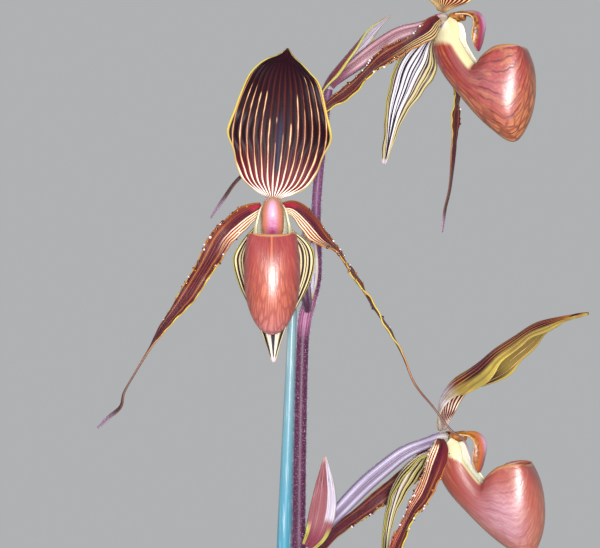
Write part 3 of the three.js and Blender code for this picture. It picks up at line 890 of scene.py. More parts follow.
@dataclass(frozen=True)
class OvaryFinish:
    """Smooth ribbed ovary with long painted highlights along its ribs and painted shade between them.

    Attributes:
        foot: The colour of its narrow foot.
        groove: The colour between the ribs: its own colour, darkened as painted shade.
        rib: The colour along the ribs, painted lighter as if lit.
        pale: The painted highlight on the crests of the ribs.
        head: The colour where it meets the flower.
        ribs: How many ribs there are.
        threads: How many fine lines there are.
    """

    name: str
    foot: Colour
    groove: Colour
    rib: Colour
    pale: Colour
    head: Colour = "b9b394"
    ribs: float = 6.0
    threads: float = 36.0
    skin: Skin = Skin(0.36, 0.00006, specular=0.45, sheen=0.2, sheen_roughness=0.3, sheen_tint="e4d8ee")

    def material(self) -> Material:
        """Builds the material.

        Returns:
            The material.
        """
        shader = Shader(self.name)
        around, along = shader.around(), shader.value("along")
        fine = around.lines(self.threads, 0.2, 0.6)
        streaks = shader.cloud(around * 22, along * 5, detail=3.0)
        # Painted highlight: pale streaks on the rib crests stand for the lamp's reflection, and the darker
        # colour between the ribs is painted shade.
        rib_highlight = around.lines(self.ribs, 0.05, 0.3) * streaks.step(0.3, 0.6)
        colour = shader.layers(
            self.groove, (around.lines(self.ribs, 0.3, 0.5), self.rib), (rib_highlight * 0.75, self.pale),
            (fine * 0.12, self.groove), (streaks.step(0.5, 0.7) * 0.25, self.rib),
            (along.fall(0.06, 0.3), self.foot), (along.step(0.93, 1.0) * 0.6, self.head))
        return shader.surface(colour, self.skin, fine)


@dataclass(frozen=True)
class DorsalFinish:
    """Upright sepal: dark maroon with cream lines that open out at its foot.

    Attributes:
        count: Lines on each half.
        glow: How far the maroon of the back reaches out, as a share of the half width.
        flank: How olive the outer part of the face is, from 0 to 1.
        wander: How far a line strays, as a share of the half width.
    """

    name: str = "dorsal_striped"
    count: float = 7.0
    glow: float = 0.5
    flank: float = 0.0
    wander: float = 0.035
    dark: Colour = "1c0a12"
    wine: Colour = "520f24"
    foot: Colour = "701226"
    rust: Colour = "8c3c26"
    amber: Colour = "b8702c"
    margin: Colour = "b49a58"
    cream: Colour = "dcc290"
    white: Colour = "fbf2e8"
    yellow: Colour = "c2ac50"
    olive: Colour = "948242"
    frost: Colour = "d6cfdc"
    centre: Colour = "251c33"
    skin: Skin = Skin(0.42, 0.00013, specular=0.1)

    def material(self) -> Material:
        """Builds the material.

        Returns:
            The material.
        """
        shader = Shader(self.name)
        across, along, back = shader.values("across", "along", "back")
        wobble = shader.cloud(across * 3, along * 7) - 0.5
        v = shader.value("stripe") + wobble * self.wander
        reach = abs(across)
        broken = shader.cloud(v * (self.count * 0.9) + 40, along * 5.5)
        early = along.fall(0.02, 0.3)
        width = (early * 0.42).most(broken.step(0.5, 0.66) * 0.12)
        ending = reach * 0.6 + 0.34 + (broken - 0.5) * 0.8
        shown = 1 - (along - ending).step(-0.05, 0.06)
        line = v.lines(self.count, width, 0.11) * shown * (broken.step(0.28, 0.5) * 0.5 + 0.5).most(early)
        rim = v.lines(self.count, width + 0.16, 0.2) * (shown * 0.75 + 0.25) * along.fall(0.72, 0.92)
        thread = v.lines(self.count * 2.0, 0.1, 0.4) * reach.fall(0.3, 0.8) * along.step(0.2, 0.4)
        upper = along.step(0.34, 0.5)
        edge = reach.step(0.962 - upper * 0.012, 0.978) * (1 - along.step(0.9, 0.96) * 0.7)
        middle = reach.fall(0.03, 0.09) * along.step(0.12, 0.2) * along.fall(0.45, 0.6)
        front = shader.layers(
            self.dark, (along.fall(0.1, 0.4) * 0.8, self.wine), (early * 0.7, self.foot),
            (thread * 0.3, self.wine),
            (reach.step(0.2, 0.45) * along.step(0.35, 0.5) * self.flank, self.olive),
            (rim * 0.85, shader.blend(early, self.rust, self.amber)),
            (line, shader.blend(early, self.cream, self.white)), (middle, self.centre),
            (edge, shader.blend(upper, self.margin, self.yellow)))
        inner = reach.fall(self.glow, self.glow + 0.12)
        gold = v.lines(self.count, 0.12, 0.2)
        frosty = along.fall(0.16, 0.3) * shader.noise(120.0).step(0.3, 0.6)
        strip = reach.fall(0.16, 0.3) * along.fall(0.3, 0.42)
        rear = shader.layers(
            self.olive, (shader.noise(90.0).step(0.4, 0.7) * 0.6, self.yellow), (gold * 0.5, self.rust),
            (inner, shader.layers(self.wine, (broken.step(0.4, 0.6) * 0.8, self.dark),
            (gold * 0.85, self.amber))), (strip, self.olive), (frosty * 0.8, self.frost))
        colour = shader.blend(back, front, rear)
        return shader.surface(
            colour, self.skin, v.lines(self.count, 0.1, 0.8) * 0.8 + shader.noise(1500.0) * 0.2)


@dataclass(frozen=True)
class SynsepalFinish:
    """The two lower sepals, pale with dark lines that crowd towards the margins.

    Attributes:
        pale: The ground in the middle.
        gold: The ground near the margins.
        width: Share of the spacing that a dark line takes.
        count: Lines on each half.
    """

    name: str
    pale: Colour
    gold: Colour
    width: float
    count: float = 8.0
    dark: Colour = "22101a"
    rust: Colour = "8a4a2c"
    shade: Colour = "b3a8c4"
    edge: Colour = "a8a044"
    tip: Colour = "cdb9bc"
    skin: Skin = Skin(0.36, 0.00014, specular=0.25)

    def material(self) -> Material:
        """Builds the material.

        Returns:
            The material.
        """
        shader = Shader(self.name)
        across, along = shader.values("across", "along")
        wobble = shader.cloud(across * 3, along * 6) - 0.5
        reach = abs(across)
        v = (reach + wobble * 0.03).most(0.0) ** 1.3
        crowd = shader.cloud(v * self.count, along * 3, detail=1.0).step(0.35, 0.65)
        width = crowd * 0.2 + self.width + along.step(0.6, 0.95) * 0.12
        line = v.lines(self.count, width, 0.14)
        halo = v.lines(self.count, width + 0.16, 0.2)
        mauve = shader.cloud(across * 5, along * 4).step(0.45, 0.65)
        outer = reach.step(0.35, 0.75)
        colour = shader.layers(
            self.pale, (mauve * 0.35, self.shade), (outer * 0.85, self.gold),
            (halo * (outer * 0.5 + 0.15), self.rust), (line, self.dark),
            (reach.step(0.965, 0.98), self.edge), (along.step(0.95, 0.98), self.tip),
            (along.fall(0.0, 0.05), self.edge))
        return shader.surface(colour, self.skin, 1 - line + shader.noise(1500.0) * 0.2)


@dataclass(frozen=True)
class PetalFinish:
    """Long petal: a striped foot, a maroon blade with thin margins and a pale-tipped tail.

    Attributes:
        side: Which side of its middle is striped, -1 below or 1 above.
        foot: Where the striped foot starts to fade, as a share of the length.
        stripe: The ground of the striped foot.
        between: The lines on that ground.
        bank: The colour of the foot on the other side of its middle.
        body: The maroon of the blade.
    """

    name: str
    side: float = -1.0
    foot: float = 0.12
    stripe: Colour = "f1dcb4"
    between: Colour = "8e1c2c"
    bank: Colour = "8f4a1e"
    body: Colour = "471222"
    wine: Colour = "641a2c"
    crimson: Colour = "98122c"
    margin: Colour = "c4ac38"
    brown: Colour = "aa6c34"
    tail: Colour = "583a3c"
    tip: Colour = "a68aa4"
    skin: Skin = Skin(0.34, 0.0001, specular=0.2)

    def material(self) -> Material:
        """Builds the material.

        Returns:
            The material.
        """
        shader = Shader(self.name)
        outer, along, back = shader.values("outer", "along", "back")
        wobble = shader.cloud(outer * 2, along * 16) - 0.5
        u = outer + wobble * 0.1
        early = along.fall(0.1, 0.3)
        cloudy = shader.cloud(outer * 4, along * 40, detail=3.0)
        ground = shader.layers(
            self.body, (cloudy.step(0.4, 0.7) * 0.7, self.wine), (along.step(0.66, 0.8), self.tail),
            (along.step(0.9, 0.97), self.tip))
        low = (u * self.side).step(0.08, 0.2) * along.fall(self.foot, self.foot + 0.14)
        high = (u * -self.side).step(0.16, 0.4) * early
        striped = shader.blend(u.lines(4.6, along * 1.4 + 0.3, 0.16), self.stripe, self.between)
        banked = shader.blend(u.lines(6.0, 0.14, 0.2), self.wine, self.bank)
        banked = shader.blend(u.step(0.62, 0.8), banked, self.bank)
        rails = 1 - abs(abs(u) - 0.5 - wobble * 0.12).step(0.03, 0.075)
        rails = rails * along.step(0.06, 0.2) * along.fall(0.5, 0.68)
        spot = along.fall(0.03, 0.05) * (1 - abs(outer - 0.32).step(0.16, 0.34))
        rails = rails.most(u.lines(4.0, 0.06, 0.1) * 0.75 * along.step(0.1, 0.2) * along.fall(0.36, 0.6))
        edge = abs(outer).step(0.9, 0.94) * (1 - along.step(0.58, 0.78) * 0.8)
        rim = shader.blend(along.step(0.2, 0.34) * along.fall(0.5, 0.66), self.brown, self.margin)
        front = shader.layers(
            ground, (low, striped), (high, banked), (rails * 0.8, self.brown),
            (edge * along.fall(0.86, 0.95), rim), (spot, self.crimson))
        rear = shader.layers(
            ground, (low * (0.4 - self.side * 0.4), striped), (rails * 0.5, self.brown), (edge * 0.8, rim))
        relief = u.lines(9.0, 0.1, 0.7) * 0.8 + shader.noise(900.0) * 0.15
        return shader.surface(shader.blend(back, front, rear), self.skin, relief)


@dataclass(frozen=True)
class WartFinish:
    """Glossy dark and golden warts along a petal's margin, some painted white as highlights."""

    gold: Colour = "a4621e"
    brown: Colour = "4a1a14"
    pale: Colour = "f0dfe6"
    skin: Skin = Skin(0.14, specular=0.8)

    def material(self) -> Material:
        """Builds the material.

        Returns:
            The material.
        """
        shader = Shader("petal_warts")
        pick = shader.value("shade")
        # Painted highlight: about a fifth of the warts are painted pale, standing for glints of light on them.
        colour = shader.layers(
            self.gold, (pick.step(0.4, 0.45), self.brown), (pick.step(0.78, 0.82), self.pale))
        return shader.surface(colour, self.skin)


@dataclass(frozen=True)
class PouchFinish:
    """Waxy pouch: cream claw, red body with long wandering veins, a tan rim and a painted lavender highlight
    on its sides.

    Attributes:
        body: The main red.
        deep: The red of the veins.
        light: The paler streaks and the underside.
        frost: The painted lavender highlight on the sides.
        highlight_strength: How strong that painted highlight is.
        highlight_at: Where that painted highlight lies, as a share of the half width.
        claw: Where the cream of the claw ends on the keel, as a share of the length.
        strength: How strong the veins are.
        strip: Where the pale strip along the claw's margin starts, as a share of the half width.
    """

    name: str
    body: Colour
    deep: Colour
    light: Colour
    frost: Colour
    highlight_strength: float
    claw: float
    strength: float
    strip: float = 0.74
    highlight_at: float = 0.55
    cream: Colour = "ece8d2"
    yellow: Colour = "d9ca98"
    rim: Colour = "b98458"
    lining: Colour = "a05a44"
    spot: Colour = "6e3448"
    skin: Skin = Skin(0.27, 0.00006, specular=0.85, coat=0.1, flesh=0.06)

    def material(self) -> Material:
        """Builds the material.

        Returns:
            The material.
        """
        shader = Shader(self.name)
        across, along, back = shader.values("across", "along", "back")
        reach = abs(across)
        slow = shader.cloud(across * 3, along * 7) - 0.5
        quick = shader.cloud(across * 9, along * 20) - 0.5
        u = across + slow * 0.12 + quick * 0.02
        faint = shader.cloud(across * 7, along * 9 + 4).step(0.34, 0.62)
        veins = u.lines(11.0, 0.04, 0.34) * (faint * 0.7 + 0.3)
        links = 1 - shader.cells(
            1.0, "DISTANCE_TO_EDGE", shader.joined(u * 9, along * 13 + slow)).step(0.02, 0.2)
        veins = veins.most(links * (0.2 + reach.fall(0.2, 0.6) * 0.5))
        fine = (u + quick * 0.06).lines(24.0, 0.1, 0.6)
        heel = 1 - (along - reach ** 3 * 0.2 + slow * 0.04).step(self.claw - 0.02, self.claw + 0.03)
        strip = reach.step(self.strip, self.strip + 0.09) * along.fall(0.315, 0.345)
        under = reach.fall(0.1, 0.62) * along.step(0.2, 0.4) * along.fall(0.86, 0.98)
        patches = shader.cloud(u * 16, along * 9, detail=3.0)
        # Painted highlight: the lavender band on the sides stands for the key lamp's reflection.
        side = (1 - abs(reach - self.highlight_at).step(0.05, 0.4)) * along.step(0.25, 0.5)
        side = side * along.fall(0.55, 0.8)
        fold = (1 - abs(along - 0.38).step(0.03, 0.2)) * reach.step(0.3, 0.85)
        ground = shader.layers(
            self.body, (patches.step(0.48, 0.66) * 0.55, self.light), (under * 0.85, self.light),
            (side * self.highlight_strength, self.frost), (fold * 0.7, self.deep),
            (along.step(0.8, 0.96) * 0.35, self.deep))
        red = shader.layers(ground, (fine * 0.2, self.deep), (veins * self.strength, self.deep))
        speck = 1 - shader.cells(420.0).step(0.1, 0.2)
        freckles = speck * shader.noise(150.0).step(0.58, 0.62) * along.step(0.03, 0.06)
        claw = shader.layers(
            self.cream, (along.step(self.claw - 0.12, self.claw) * 0.8, self.yellow),
            (freckles * 0.8, self.spot))
        edge = reach.step(0.955, 0.985) * along.step(0.3, 0.36)
        line = reach.fall(0.015, 0.05) * along.step(0.82, 0.9) * 0.8
        outside = shader.layers(
            red, (line, self.light), (heel, claw), (strip, self.yellow),
            (edge.most(along.step(0.985, 0.995)) * 0.9, self.rim))
        inside = shader.layers(
            self.lining, (veins * 0.4, self.body), (speck * 0.4, self.spot),
            (along.fall(0.3, 0.4), self.cream))
        colour = shader.blend(back, outside, inside)
        relief = veins * -0.5 + shader.noise(900.0, 3.0) * 0.7
        return shader.surface(colour, self.skin, relief, shader.noise(700.0, 3.0) * 0.2)


@dataclass(frozen=True)
class ShieldFinish:
    """Staminode: a salmon or crimson face, golden-brown hairy wings and a cream column.

    Attributes:
        edge: The colour of its face.
        heart: The colour low in its middle.
        top: The colour where it leaves the column.
        wing: How brown its wings are, from 0 to 1.
    """

    name: str
    edge: Colour
    heart: Colour
    top: Colour
    wing: float
    cream: Colour = "efd9a4"
    lilac: Colour = "cfaad2"
    gold: Colour = "a4661c"
    umber: Colour = "451c16"
    blush: Colour = "8a3454"
    skin: Skin = Skin(0.32, 0.00012, flesh=0.06)

    def material(self) -> Material:
        """Builds the material.

        Returns:
            The material.
        """
        shader = Shader(self.name)
        across, along, back = shader.values("across", "along", "back")
        reach = abs(across)
        freckle = 1 - shader.cells(700.0).step(0.12, 0.34)
        middle = reach.fall(0.08, 0.45) * along.step(0.3, 0.5)
        low = reach.fall(0.0, 0.6) * along.step(0.56, 0.86)
        hide = shader.layers(self.gold, (shader.noise(650.0, 3.0).step(0.44, 0.6) * 0.8, self.umber))
        fringe = reach.step(0.5, 0.68) * along.fall(0.86, 0.96) * self.wing
        face = shader.layers(
            self.edge, (along.fall(0.2, 0.44), self.top), (middle * 0.7, self.lilac),
            (low * 0.95, self.heart), (fringe, hide), (reach.step(0.93, 0.97) * 0.7, self.cream),
            (freckle * reach.step(0.6, 0.8) * 0.5, self.blush))
        rear = shader.layers(hide, (reach.step(0.86, 0.97) * 0.8, self.edge))
        return shader.surface(shader.blend(back, rear, face), self.skin, shader.noise(1100.0, 3.0))


@dataclass(frozen=True)
class BractFinish:
    """Sheathing bract: fine darker lines, green margins low down and a pale flash of its inside.

    Attributes:
        rose: The ground outside.
        wine: The lines and the foot outside.
        flash: How much of a pale inside shows past the middle, from 0 to 1.
        green: Where its green margins end, as a share of the length.
        hem: Where those margins start, as a share of the half width.
    """

    name: str
    rose: Colour
    wine: Colour
    flash: float = 0.0
    green: float = 0.3
    hem: float = 0.62
    pale: Colour = "bcb4c2"
    margin: Colour = "a8a24c"
    tip: Colour = "c9b4a8"
    skin: Skin = Skin(0.42, 0.00006, specular=0.3, sheen=0.1)

    def material(self) -> Material:
        """Builds the material.

        Returns:
            The material.
        """
        shader = Shader(self.name)
        across, along, back = shader.values("across", "along", "back")
        wobble = shader.cloud(across * 3, along * 6) - 0.5
        u = across + wobble * 0.08
        line = u.lines(7.0, 0.2, 0.4)
        hem = abs(u).step(self.hem, self.hem + 0.1) * along.fall(self.green, self.green + 0.12)
        hem = hem.most(abs(u).step(0.93, 0.97) * 0.6)
        window = (0.0 - u).step(0.24, 0.32) * along.step(0.3, 0.38) * self.flash
        outside = shader.layers(
            self.rose, (line * 0.45, self.wine), (along.fall(0.05, 0.4) * 0.7, self.wine),
            (window, shader.blend(line * 0.25, self.pale, self.wine)), (hem, self.margin),
            (along.step(0.9, 1.0) * 0.6, self.tip))
        inside = shader.layers(self.pale, (line * 0.35, self.rose), (hem, self.margin))
        return shader.surface(shader.blend(back, inside, outside), self.skin, line)


@dataclass(frozen=True)
class FloorFinish:
    """Plain pale floor."""

    pale: Colour = "cfcfcd"
    skin: Skin = Skin(0.9)

    def material(self) -> Material:
        """Builds the material."""
        return Shader("studio_floor").surface(self.pale, self.skin)


# Shapes that repeat or follow a path


class Grain(Enum):
    """What a surface is strewn with."""

    HAIR = "hair"
    WART = "wart"
    CHIP = "chip"


class Draw(Enum):
    """What is drawn at random, with the number that sets its draws apart."""

    TILT = 3
    SIZE = 5
    SHADE = 9


class Form(Tree):
    """A geometry tree with named inputs."""

    SPIN = 3.1
    KNOCK_SCALE = 150.0
    CHIP_DEPTH = 0.55

    def __init__(self, name: str, sockets: dict[str, str]) -> None:
        """Starts a tree.

        Args:
            name: The tree's name.
            sockets: Kind of each input by name, without the word NodeSocket.
        """
        group = bpy.data.node_groups.new(name, "GeometryNodeTree")
        group.is_modifier = True
        super().__init__(group)
        group.interface.new_socket("Geometry", in_out="INPUT", socket_type="NodeSocketGeometry")
        for socket, kind in sockets.items():
            group.interface.new_socket(socket, in_out="INPUT", socket_type="NodeSocket" + kind)
        group.interface.new_socket("Geometry", in_out="OUTPUT", socket_type="NodeSocketGeometry")
        self.start = self.node("NodeGroupInput")

    def size(self, name: str) -> Term:
        """Gives one of the tree's own inputs."""
        return Term(self, self.start.outputs[name])

    def stored(self, name: str) -> Term:
        """Reads a named attribute."""
        return self.call("GeometryNodeInputNamedAttribute", 0, {"data_type": "FLOAT"}, Name=name)

    def store(self, geometry: Term, name: str, value: Number, domain: str = "POINT") -> Term:
        """Writes a named attribute.

        Args:
            geometry: The geometry.
            name: Its name.
            value: The term or value for it.
            domain: What it is stored on.

        Returns:
            The geometry with it.
        """
        settings = {"data_type": "FLOAT", "domain": domain}
        values = {"Geometry": geometry, "Name": name, "Value": value}
        return self.call("GeometryNodeStoreNamedAttribute", 0, settings, **values)

    def random(self, low: float | Point, high: float | Point, draw: Draw) -> Term:
        """Gives a random number or vector for each point.

        Args:
            low: The least value.
            high: The greatest value.
            draw: What is drawn.

        Returns:
            The value.
        """
        kind = "FLOAT_VECTOR" if isinstance(low, tuple) else "FLOAT"
        made = self.node("FunctionNodeRandomValue", data_type=kind)
        ends = [s for s in made.inputs if s.enabled and s.name in ("Min", "Max")]
        self.feed(ends[0], low)
        self.feed(ends[1], high)
        drawn = self.math("ADD", self.size("Seed"), float(draw.value))
        self.feed(next(s for s in made.inputs if s.name == "Seed"), drawn)
        return Term(self, next(s for s in made.outputs if s.enabled))

    def vectors(self, operation: str, first: Term, second: object) -> Term:
        """Adds a Vector Math node on two vectors, or on a vector and its scale.

        Args:
            operation: What the node does.
            first: The first one.
            second: The second one.

        Returns:
            The result.
        """
        made = self.node("ShaderNodeVectorMath", operation=operation)
        self.feed(made.inputs[0], first)
        self.feed(made.inputs["Scale" if operation == "SCALE" else 1], second)
        return Term(self, made.outputs[0])

    def strewn(self, surface: Term, grain: Grain) -> Term:
        """Strews small bodies over a surface, as thickly as its attribute amount says.

        Args:
            surface: The surface.
            grain: What the bodies are.

        Returns:
            The bodies, as instances.
        """
        density = self.size("Density") * self.stored("amount")
        values = {"Mesh": surface, "Density": density, "Seed": self.size("Seed")}
        spread = self.call(
            "GeometryNodeDistributePointsOnFaces", "Points", {"distribute_method": "RANDOM"}, **values)
        body = self.store(self.one(grain), STREWN, 1.0)
        tilt = self.random((-1.0, -1.0, -self.SPIN), (1.0, 1.0, self.SPIN), Draw.TILT)
        tilt = self.vectors("MULTIPLY", tilt, self.joined(self.size("Tilt"), self.size("Tilt"), 1.0))
        turn = self.node("FunctionNodeRotateRotation", rotation_space="LOCAL")
        self.feed(turn.inputs[0], Term(self, spread.socket.node.outputs["Rotation"]))
        self.feed(turn.inputs[1], tilt)
        least, most = ((0.55, 0.6, 0.6), (1.0, 1.0, 1.0)) if grain is Grain.CHIP else (0.5, 1.0)
        values = {
            "Points": spread, "Instance": body, "Rotation": Term(self, turn.outputs[0]),
            "Scale": self.random(least, most, Draw.SIZE)}
        placed = self.call("GeometryNodeInstanceOnPoints", **values)
        return self.store(placed, "shade", self.random(0.0, 1.0, Draw.SHADE), "INSTANCE")

    def one(self, grain: Grain) -> Term:
        """Makes one of the strewn bodies, with its foot at the origin.

        Args:
            grain: What it is.

        Returns:
            The body.
        """
        width, height = self.size("Width"), self.size("Height")
        if grain is Grain.HAIR:
            values = {"Vertices": 3, "Radius_Top": 0.0, "Radius_Bottom": width, "Depth": height}
            return self.call("GeometryNodeMeshCone", "Mesh", {"fill_type": "TRIANGLE_FAN"}, **values)
        if grain is Grain.WART:
            ball = self.call("GeometryNodeMeshIcoSphere", "Mesh", Radius=1.0, Subdivisions=1)
            ball = self.call("GeometryNodeSetShadeSmooth", Geometry=ball)
            return self.call(
                "GeometryNodeTransform", Geometry=ball, Scale=self.joined(width, width, height))
        size = self.joined(width, width * self.CHIP_DEPTH, height)
        return self.call(
            "GeometryNodeMeshCube", "Mesh", Size=size, Vertices_X=4, Vertices_Y=3, Vertices_Z=3)

    def end(self, body: Term, grain: Grain, rough: float = 0.0) -> None:
        """Strews the body and ends the tree in real meshes with their finishes.

        Args:
            body: The body.
            grain: What it is strewn with.
            rough: How far the strewn bodies are knocked out of shape, in metres.
        """
        both = self.node("GeometryNodeJoinGeometry")
        for part in (self.strewn(body, grain), body):
            self.nodes.links.new(part.socket, both.inputs[0])
        real = self.call("GeometryNodeRealizeInstances", Geometry=Term(self, both.outputs[0]))
        if rough:
            shift = self.call("ShaderNodeTexNoise", 1, Scale=self.KNOCK_SCALE)
            shift = self.vectors("SUBTRACT", shift, (0.5, 0.5, 0.5))
            shift = self.vectors("SCALE", self.vectors("SCALE", shift, rough), self.stored(STREWN))
            real = self.call("GeometryNodeSetPosition", Geometry=real, Offset=shift)
        dressed = self.call("GeometryNodeSetMaterial", Geometry=real, Material=self.size("Body"))
        chosen = self.math("GREATER_THAN", self.stored(STREWN), 0.5)
        dressed = self.call(
            "GeometryNodeSetMaterial", Geometry=dressed, Material=self.size("Strewn"), Selection=chosen)
        self.nodes.links.new(dressed.socket, self.node("NodeGroupOutput").inputs[0])


STREWN_SOCKETS = {
    "Density": "Float", "Width": "Float", "Height": "Float", "Tilt": "Float", "Seed": "Int",
    "Body": "Material", "Strewn": "Material"}


def strewing(grain: Grain, rough: float = 0.0) -> Form:
    """Makes the tree that strews a body with hairs, warts or chips.

    Args:
        grain: What it is strewn with.
        rough: How far those are knocked out of shape, in metres.

    Returns:
        The tree.
    """
    form = Form("strewn_" + grain.value, STREWN_SOCKETS)
    form.end(form.size("Geometry"), grain, rough)
    return form


def stalking() -> Form:
    """Makes the tree that sweeps a ribbed, hairy stalk along a line whose points carry their radius.

    Returns:
        The tree.
    """
    sockets = {"Sides": "Int", "Ribs": "Float", "Rib Depth": "Float", **STREWN_SOCKETS}
    form = Form("hairy_stalk", sockets)
    rail = form.call("GeometryNodeMeshToCurve", Mesh=form.size("Geometry"))
    rail = form.call("GeometryNodeSetCurveRadius", Curve=rail, Radius=form.stored("reach"))
    values = {"Resolution": form.size("Sides"), "Radius": 1.0}
    ring = form.call("GeometryNodeCurvePrimitiveCircle", "Curve", {"mode": "RADIUS"}, **values)
    angle = form.call("GeometryNodeSplineParameter", "Factor") * math.tau
    wave = (angle * form.size("Ribs")).cosine() * 0.5 - 0.5
    reach = wave * form.size("Rib Depth") + 1.0
    x, y = angle.cosine(), angle.sine()
    profile = form.call(
        "GeometryNodeSetPosition", Geometry=ring, Position=form.joined(x * reach, y * reach))
    profile = form.store(form.store(profile, "turn_x", x), "turn_y", y)
    sweep = form.call("GeometryNodeCurveToMesh", "Mesh", Curve=rail, Profile_Curve=profile, Fill_Caps=True)
    inputs = sweep.socket.node.inputs
    if "Scale" in inputs:
        form.feed(inputs["Scale"], form.stored("reach"))
    form.end(form.call("GeometryNodeSetShadeSmooth", Geometry=sweep), Grain.HAIR)
    return form


def grow(source: Object, form: Form, sizes: dict[str, object]) -> Object:
    """Runs a tree on an object and keeps the result as a plain mesh.

    Args:
        source: The object that the tree starts from. It is used up.
        form: The tree.
        sizes: Values of the tree's inputs by name.

    Returns:
        The new object, under the same name.
    """
    name = source.name
    source.name = name + "_core"
    modifier = source.modifiers.new("form", "NODES")
    modifier.node_group = form.nodes
    for item in form.nodes.interface.items_tree:
        if item.item_type == "SOCKET" and item.in_out == "INPUT" and item.name in sizes:
            modifier[item.identifier] = sizes[item.name]
    source.update_tag()
    graph = bpy.context.evaluated_depsgraph_get()
    mesh = bpy.data.meshes.new_from_object(
        source.evaluated_get(graph), preserve_all_data_layers=True, depsgraph=graph)
    source.modifiers.clear()
    bpy.data.objects.remove(source)
    for slot in reversed(range(len(mesh.materials))):
        if mesh.materials[slot] is None:
            mesh.materials.pop(index=slot)
    mesh.name = name
    return linked(name, mesh)


@dataclass(frozen=True)
class Coat:
    """The hairs, warts or chips of one piece.

    Attributes:
        density: How many lie on a square metre.
        width: Radius or width of one, in metres.
        height: How far it stands out, in metres.
        tilt: How far it leans at random, in radians.
        seed: Seed of its random places.
    """

    density: float
    width: float
    height: float
    tilt: float
    seed: int

    def sizes(self, body: Material, strewn: Material) -> dict[str, object]:
        """Gives the tree's inputs."""
        return {"Density": self.density, "Width": self.width, "Height": self.height, "Tilt": self.tilt,
                "Seed": self.seed, "Body": body, "Strewn": strewn}


def line_of(name: str, points: Array, radii: Array) -> Object:
    """Makes a bare line that carries a radius and its share of the length at each point.

    Args:
        name: The object's name.
        points: The points, in metres.
        radii: The radius at each point, in metres.

    Returns:
        The object.
    """
    mesh = bpy.data.meshes.new(name)
    mesh.from_pydata(points.tolist(), [(i, i + 1) for i in range(len(points) - 1)], [])
    made = linked(name, mesh)
    add_values(made, reach=radii, amount=np.ones(len(points)))
    run = np.concatenate([[0], np.cumsum(np.linalg.norm(np.diff(points, axis=0), axis=1))])
    add_values(made, along=run / run[-1])
    return made


# The holder: pot, mix and stake


@dataclass
class Pot:
    """Round plastic pot with a stepped rim and drain holes, in millimetres."""

    height: float = 125.0
    top_radius: float = 66.0
    base_radius: float = 51.0
    wall: float = 2.2
    floor: float = 3.0
    rim_height: float = 17.0
    rim_step: float = 3.4
    lip: float = 1.2
    holes: int = 6
    hole_radius: float = 5.0
    hole_circle: float = 33.0
    hole_sides: int = 32
    drill: float = 20.0
    sides: int = 144

    def radius_at(self, height: float) -> float:
        """Returns the outer radius of the plain wall at a height."""
        return float(mix(self.base_radius, self.top_radius, height / self.height))

    def profile(self) -> list[Pair]:
        """Returns the wall's section, from the outside foot to the inside floor.

        Returns:
            Pairs of radius and height.
        """
        shoulder = self.height - self.rim_height
        top = self.radius_at(self.height)
        low = self.radius_at(shoulder)
        return [
            (self.base_radius - 1.6, 0), (self.base_radius - 0.5, 0.3), (self.base_radius, 1.4),
            *((self.radius_at(z), z) for z in np.linspace(8, shoulder - 1.5, 12)), (low, shoulder - 0.5),
            (low + 0.4, shoulder - 0.1), (low + self.rim_step - 0.5, shoulder + 0.5),
            (low + self.rim_step, shoulder + 1.4), (top + self.rim_step - 0.1,
            self.height - self.lip - 1.2), (top + self.rim_step, self.height - self.lip),
            (top + self.rim_step - 0.35, self.height - 0.35), (top + self.rim_step - self.lip, self.height),
            (top - self.wall + self.lip, self.height), (top - self.wall + 0.35, self.height - 0.35),
            (top - self.wall, self.height - self.lip),
            *((self.radius_at(z) - self.wall, z) for z in np.linspace(self.height - 12, self.floor + 4,
            12)), (self.radius_at(self.floor) - self.wall - 0.8, self.floor + 0.6),
            (self.radius_at(self.floor) - self.wall - 2.4, self.floor)]

    def make(self) -> Object:
        """Builds the pot.

        Returns:
            The piece.
        """
        pot = turned_body("pot_shell", self.profile(), self.sides)
        cutter = bmesh.new()
        for i in range(self.holes):
            angle = math.tau * i / self.holes
            place = Vector((self.hole_circle * math.cos(angle), self.hole_circle * math.sin(angle), 0)) * MM
            size = self.hole_radius * MM
            made = bmesh.ops.create_cone(
                cutter, cap_ends=True, segments=self.hole_sides, radius1=size, radius2=size,
                depth=self.drill * MM)
            bmesh.ops.translate(cutter, verts=made["verts"], vec=place)
        mesh = bpy.data.meshes.new("drain_cutter")
        cutter.to_mesh(mesh)
        cutter.free()
        tool = linked("drain_cutter", mesh)
        cut = pot.modifiers.new("drains", "BOOLEAN")
        cut.operation, cut.solver, cut.object = "DIFFERENCE", "EXACT", tool
        graph = bpy.context.evaluated_depsgraph_get()
        finished = bpy.data.meshes.new_from_object(pot.evaluated_get(graph), depsgraph=graph)
        pot.modifiers.clear()
        pot.data = finished
        bpy.data.objects.remove(tool)
        finished.materials.clear()
        finished.materials.append(PotFinish().material())
        return finish_piece(pot, "pot_plastic", "pot")


def turned_body(name: str, profile: Sequence[Pair], sides: int) -> Object:
    """Turns a section about the Z axis and closes both ends with a disc.

    Args:
        name: The object's name.
        profile: (radius, height) pairs in millimetres.
        sides: Steps round the axis.

    Returns:
        The object.
    """
    angles = np.arange(sides) * math.tau / sides
    ring = np.stack([np.cos(angles), np.sin(angles), np.zeros(sides)], axis=1)
    points = np.vstack([ring * radius + np.array([0, 0, height]) for radius, height in profile]) * MM
    return make_object(name, points, tube_faces(len(profile), sides))


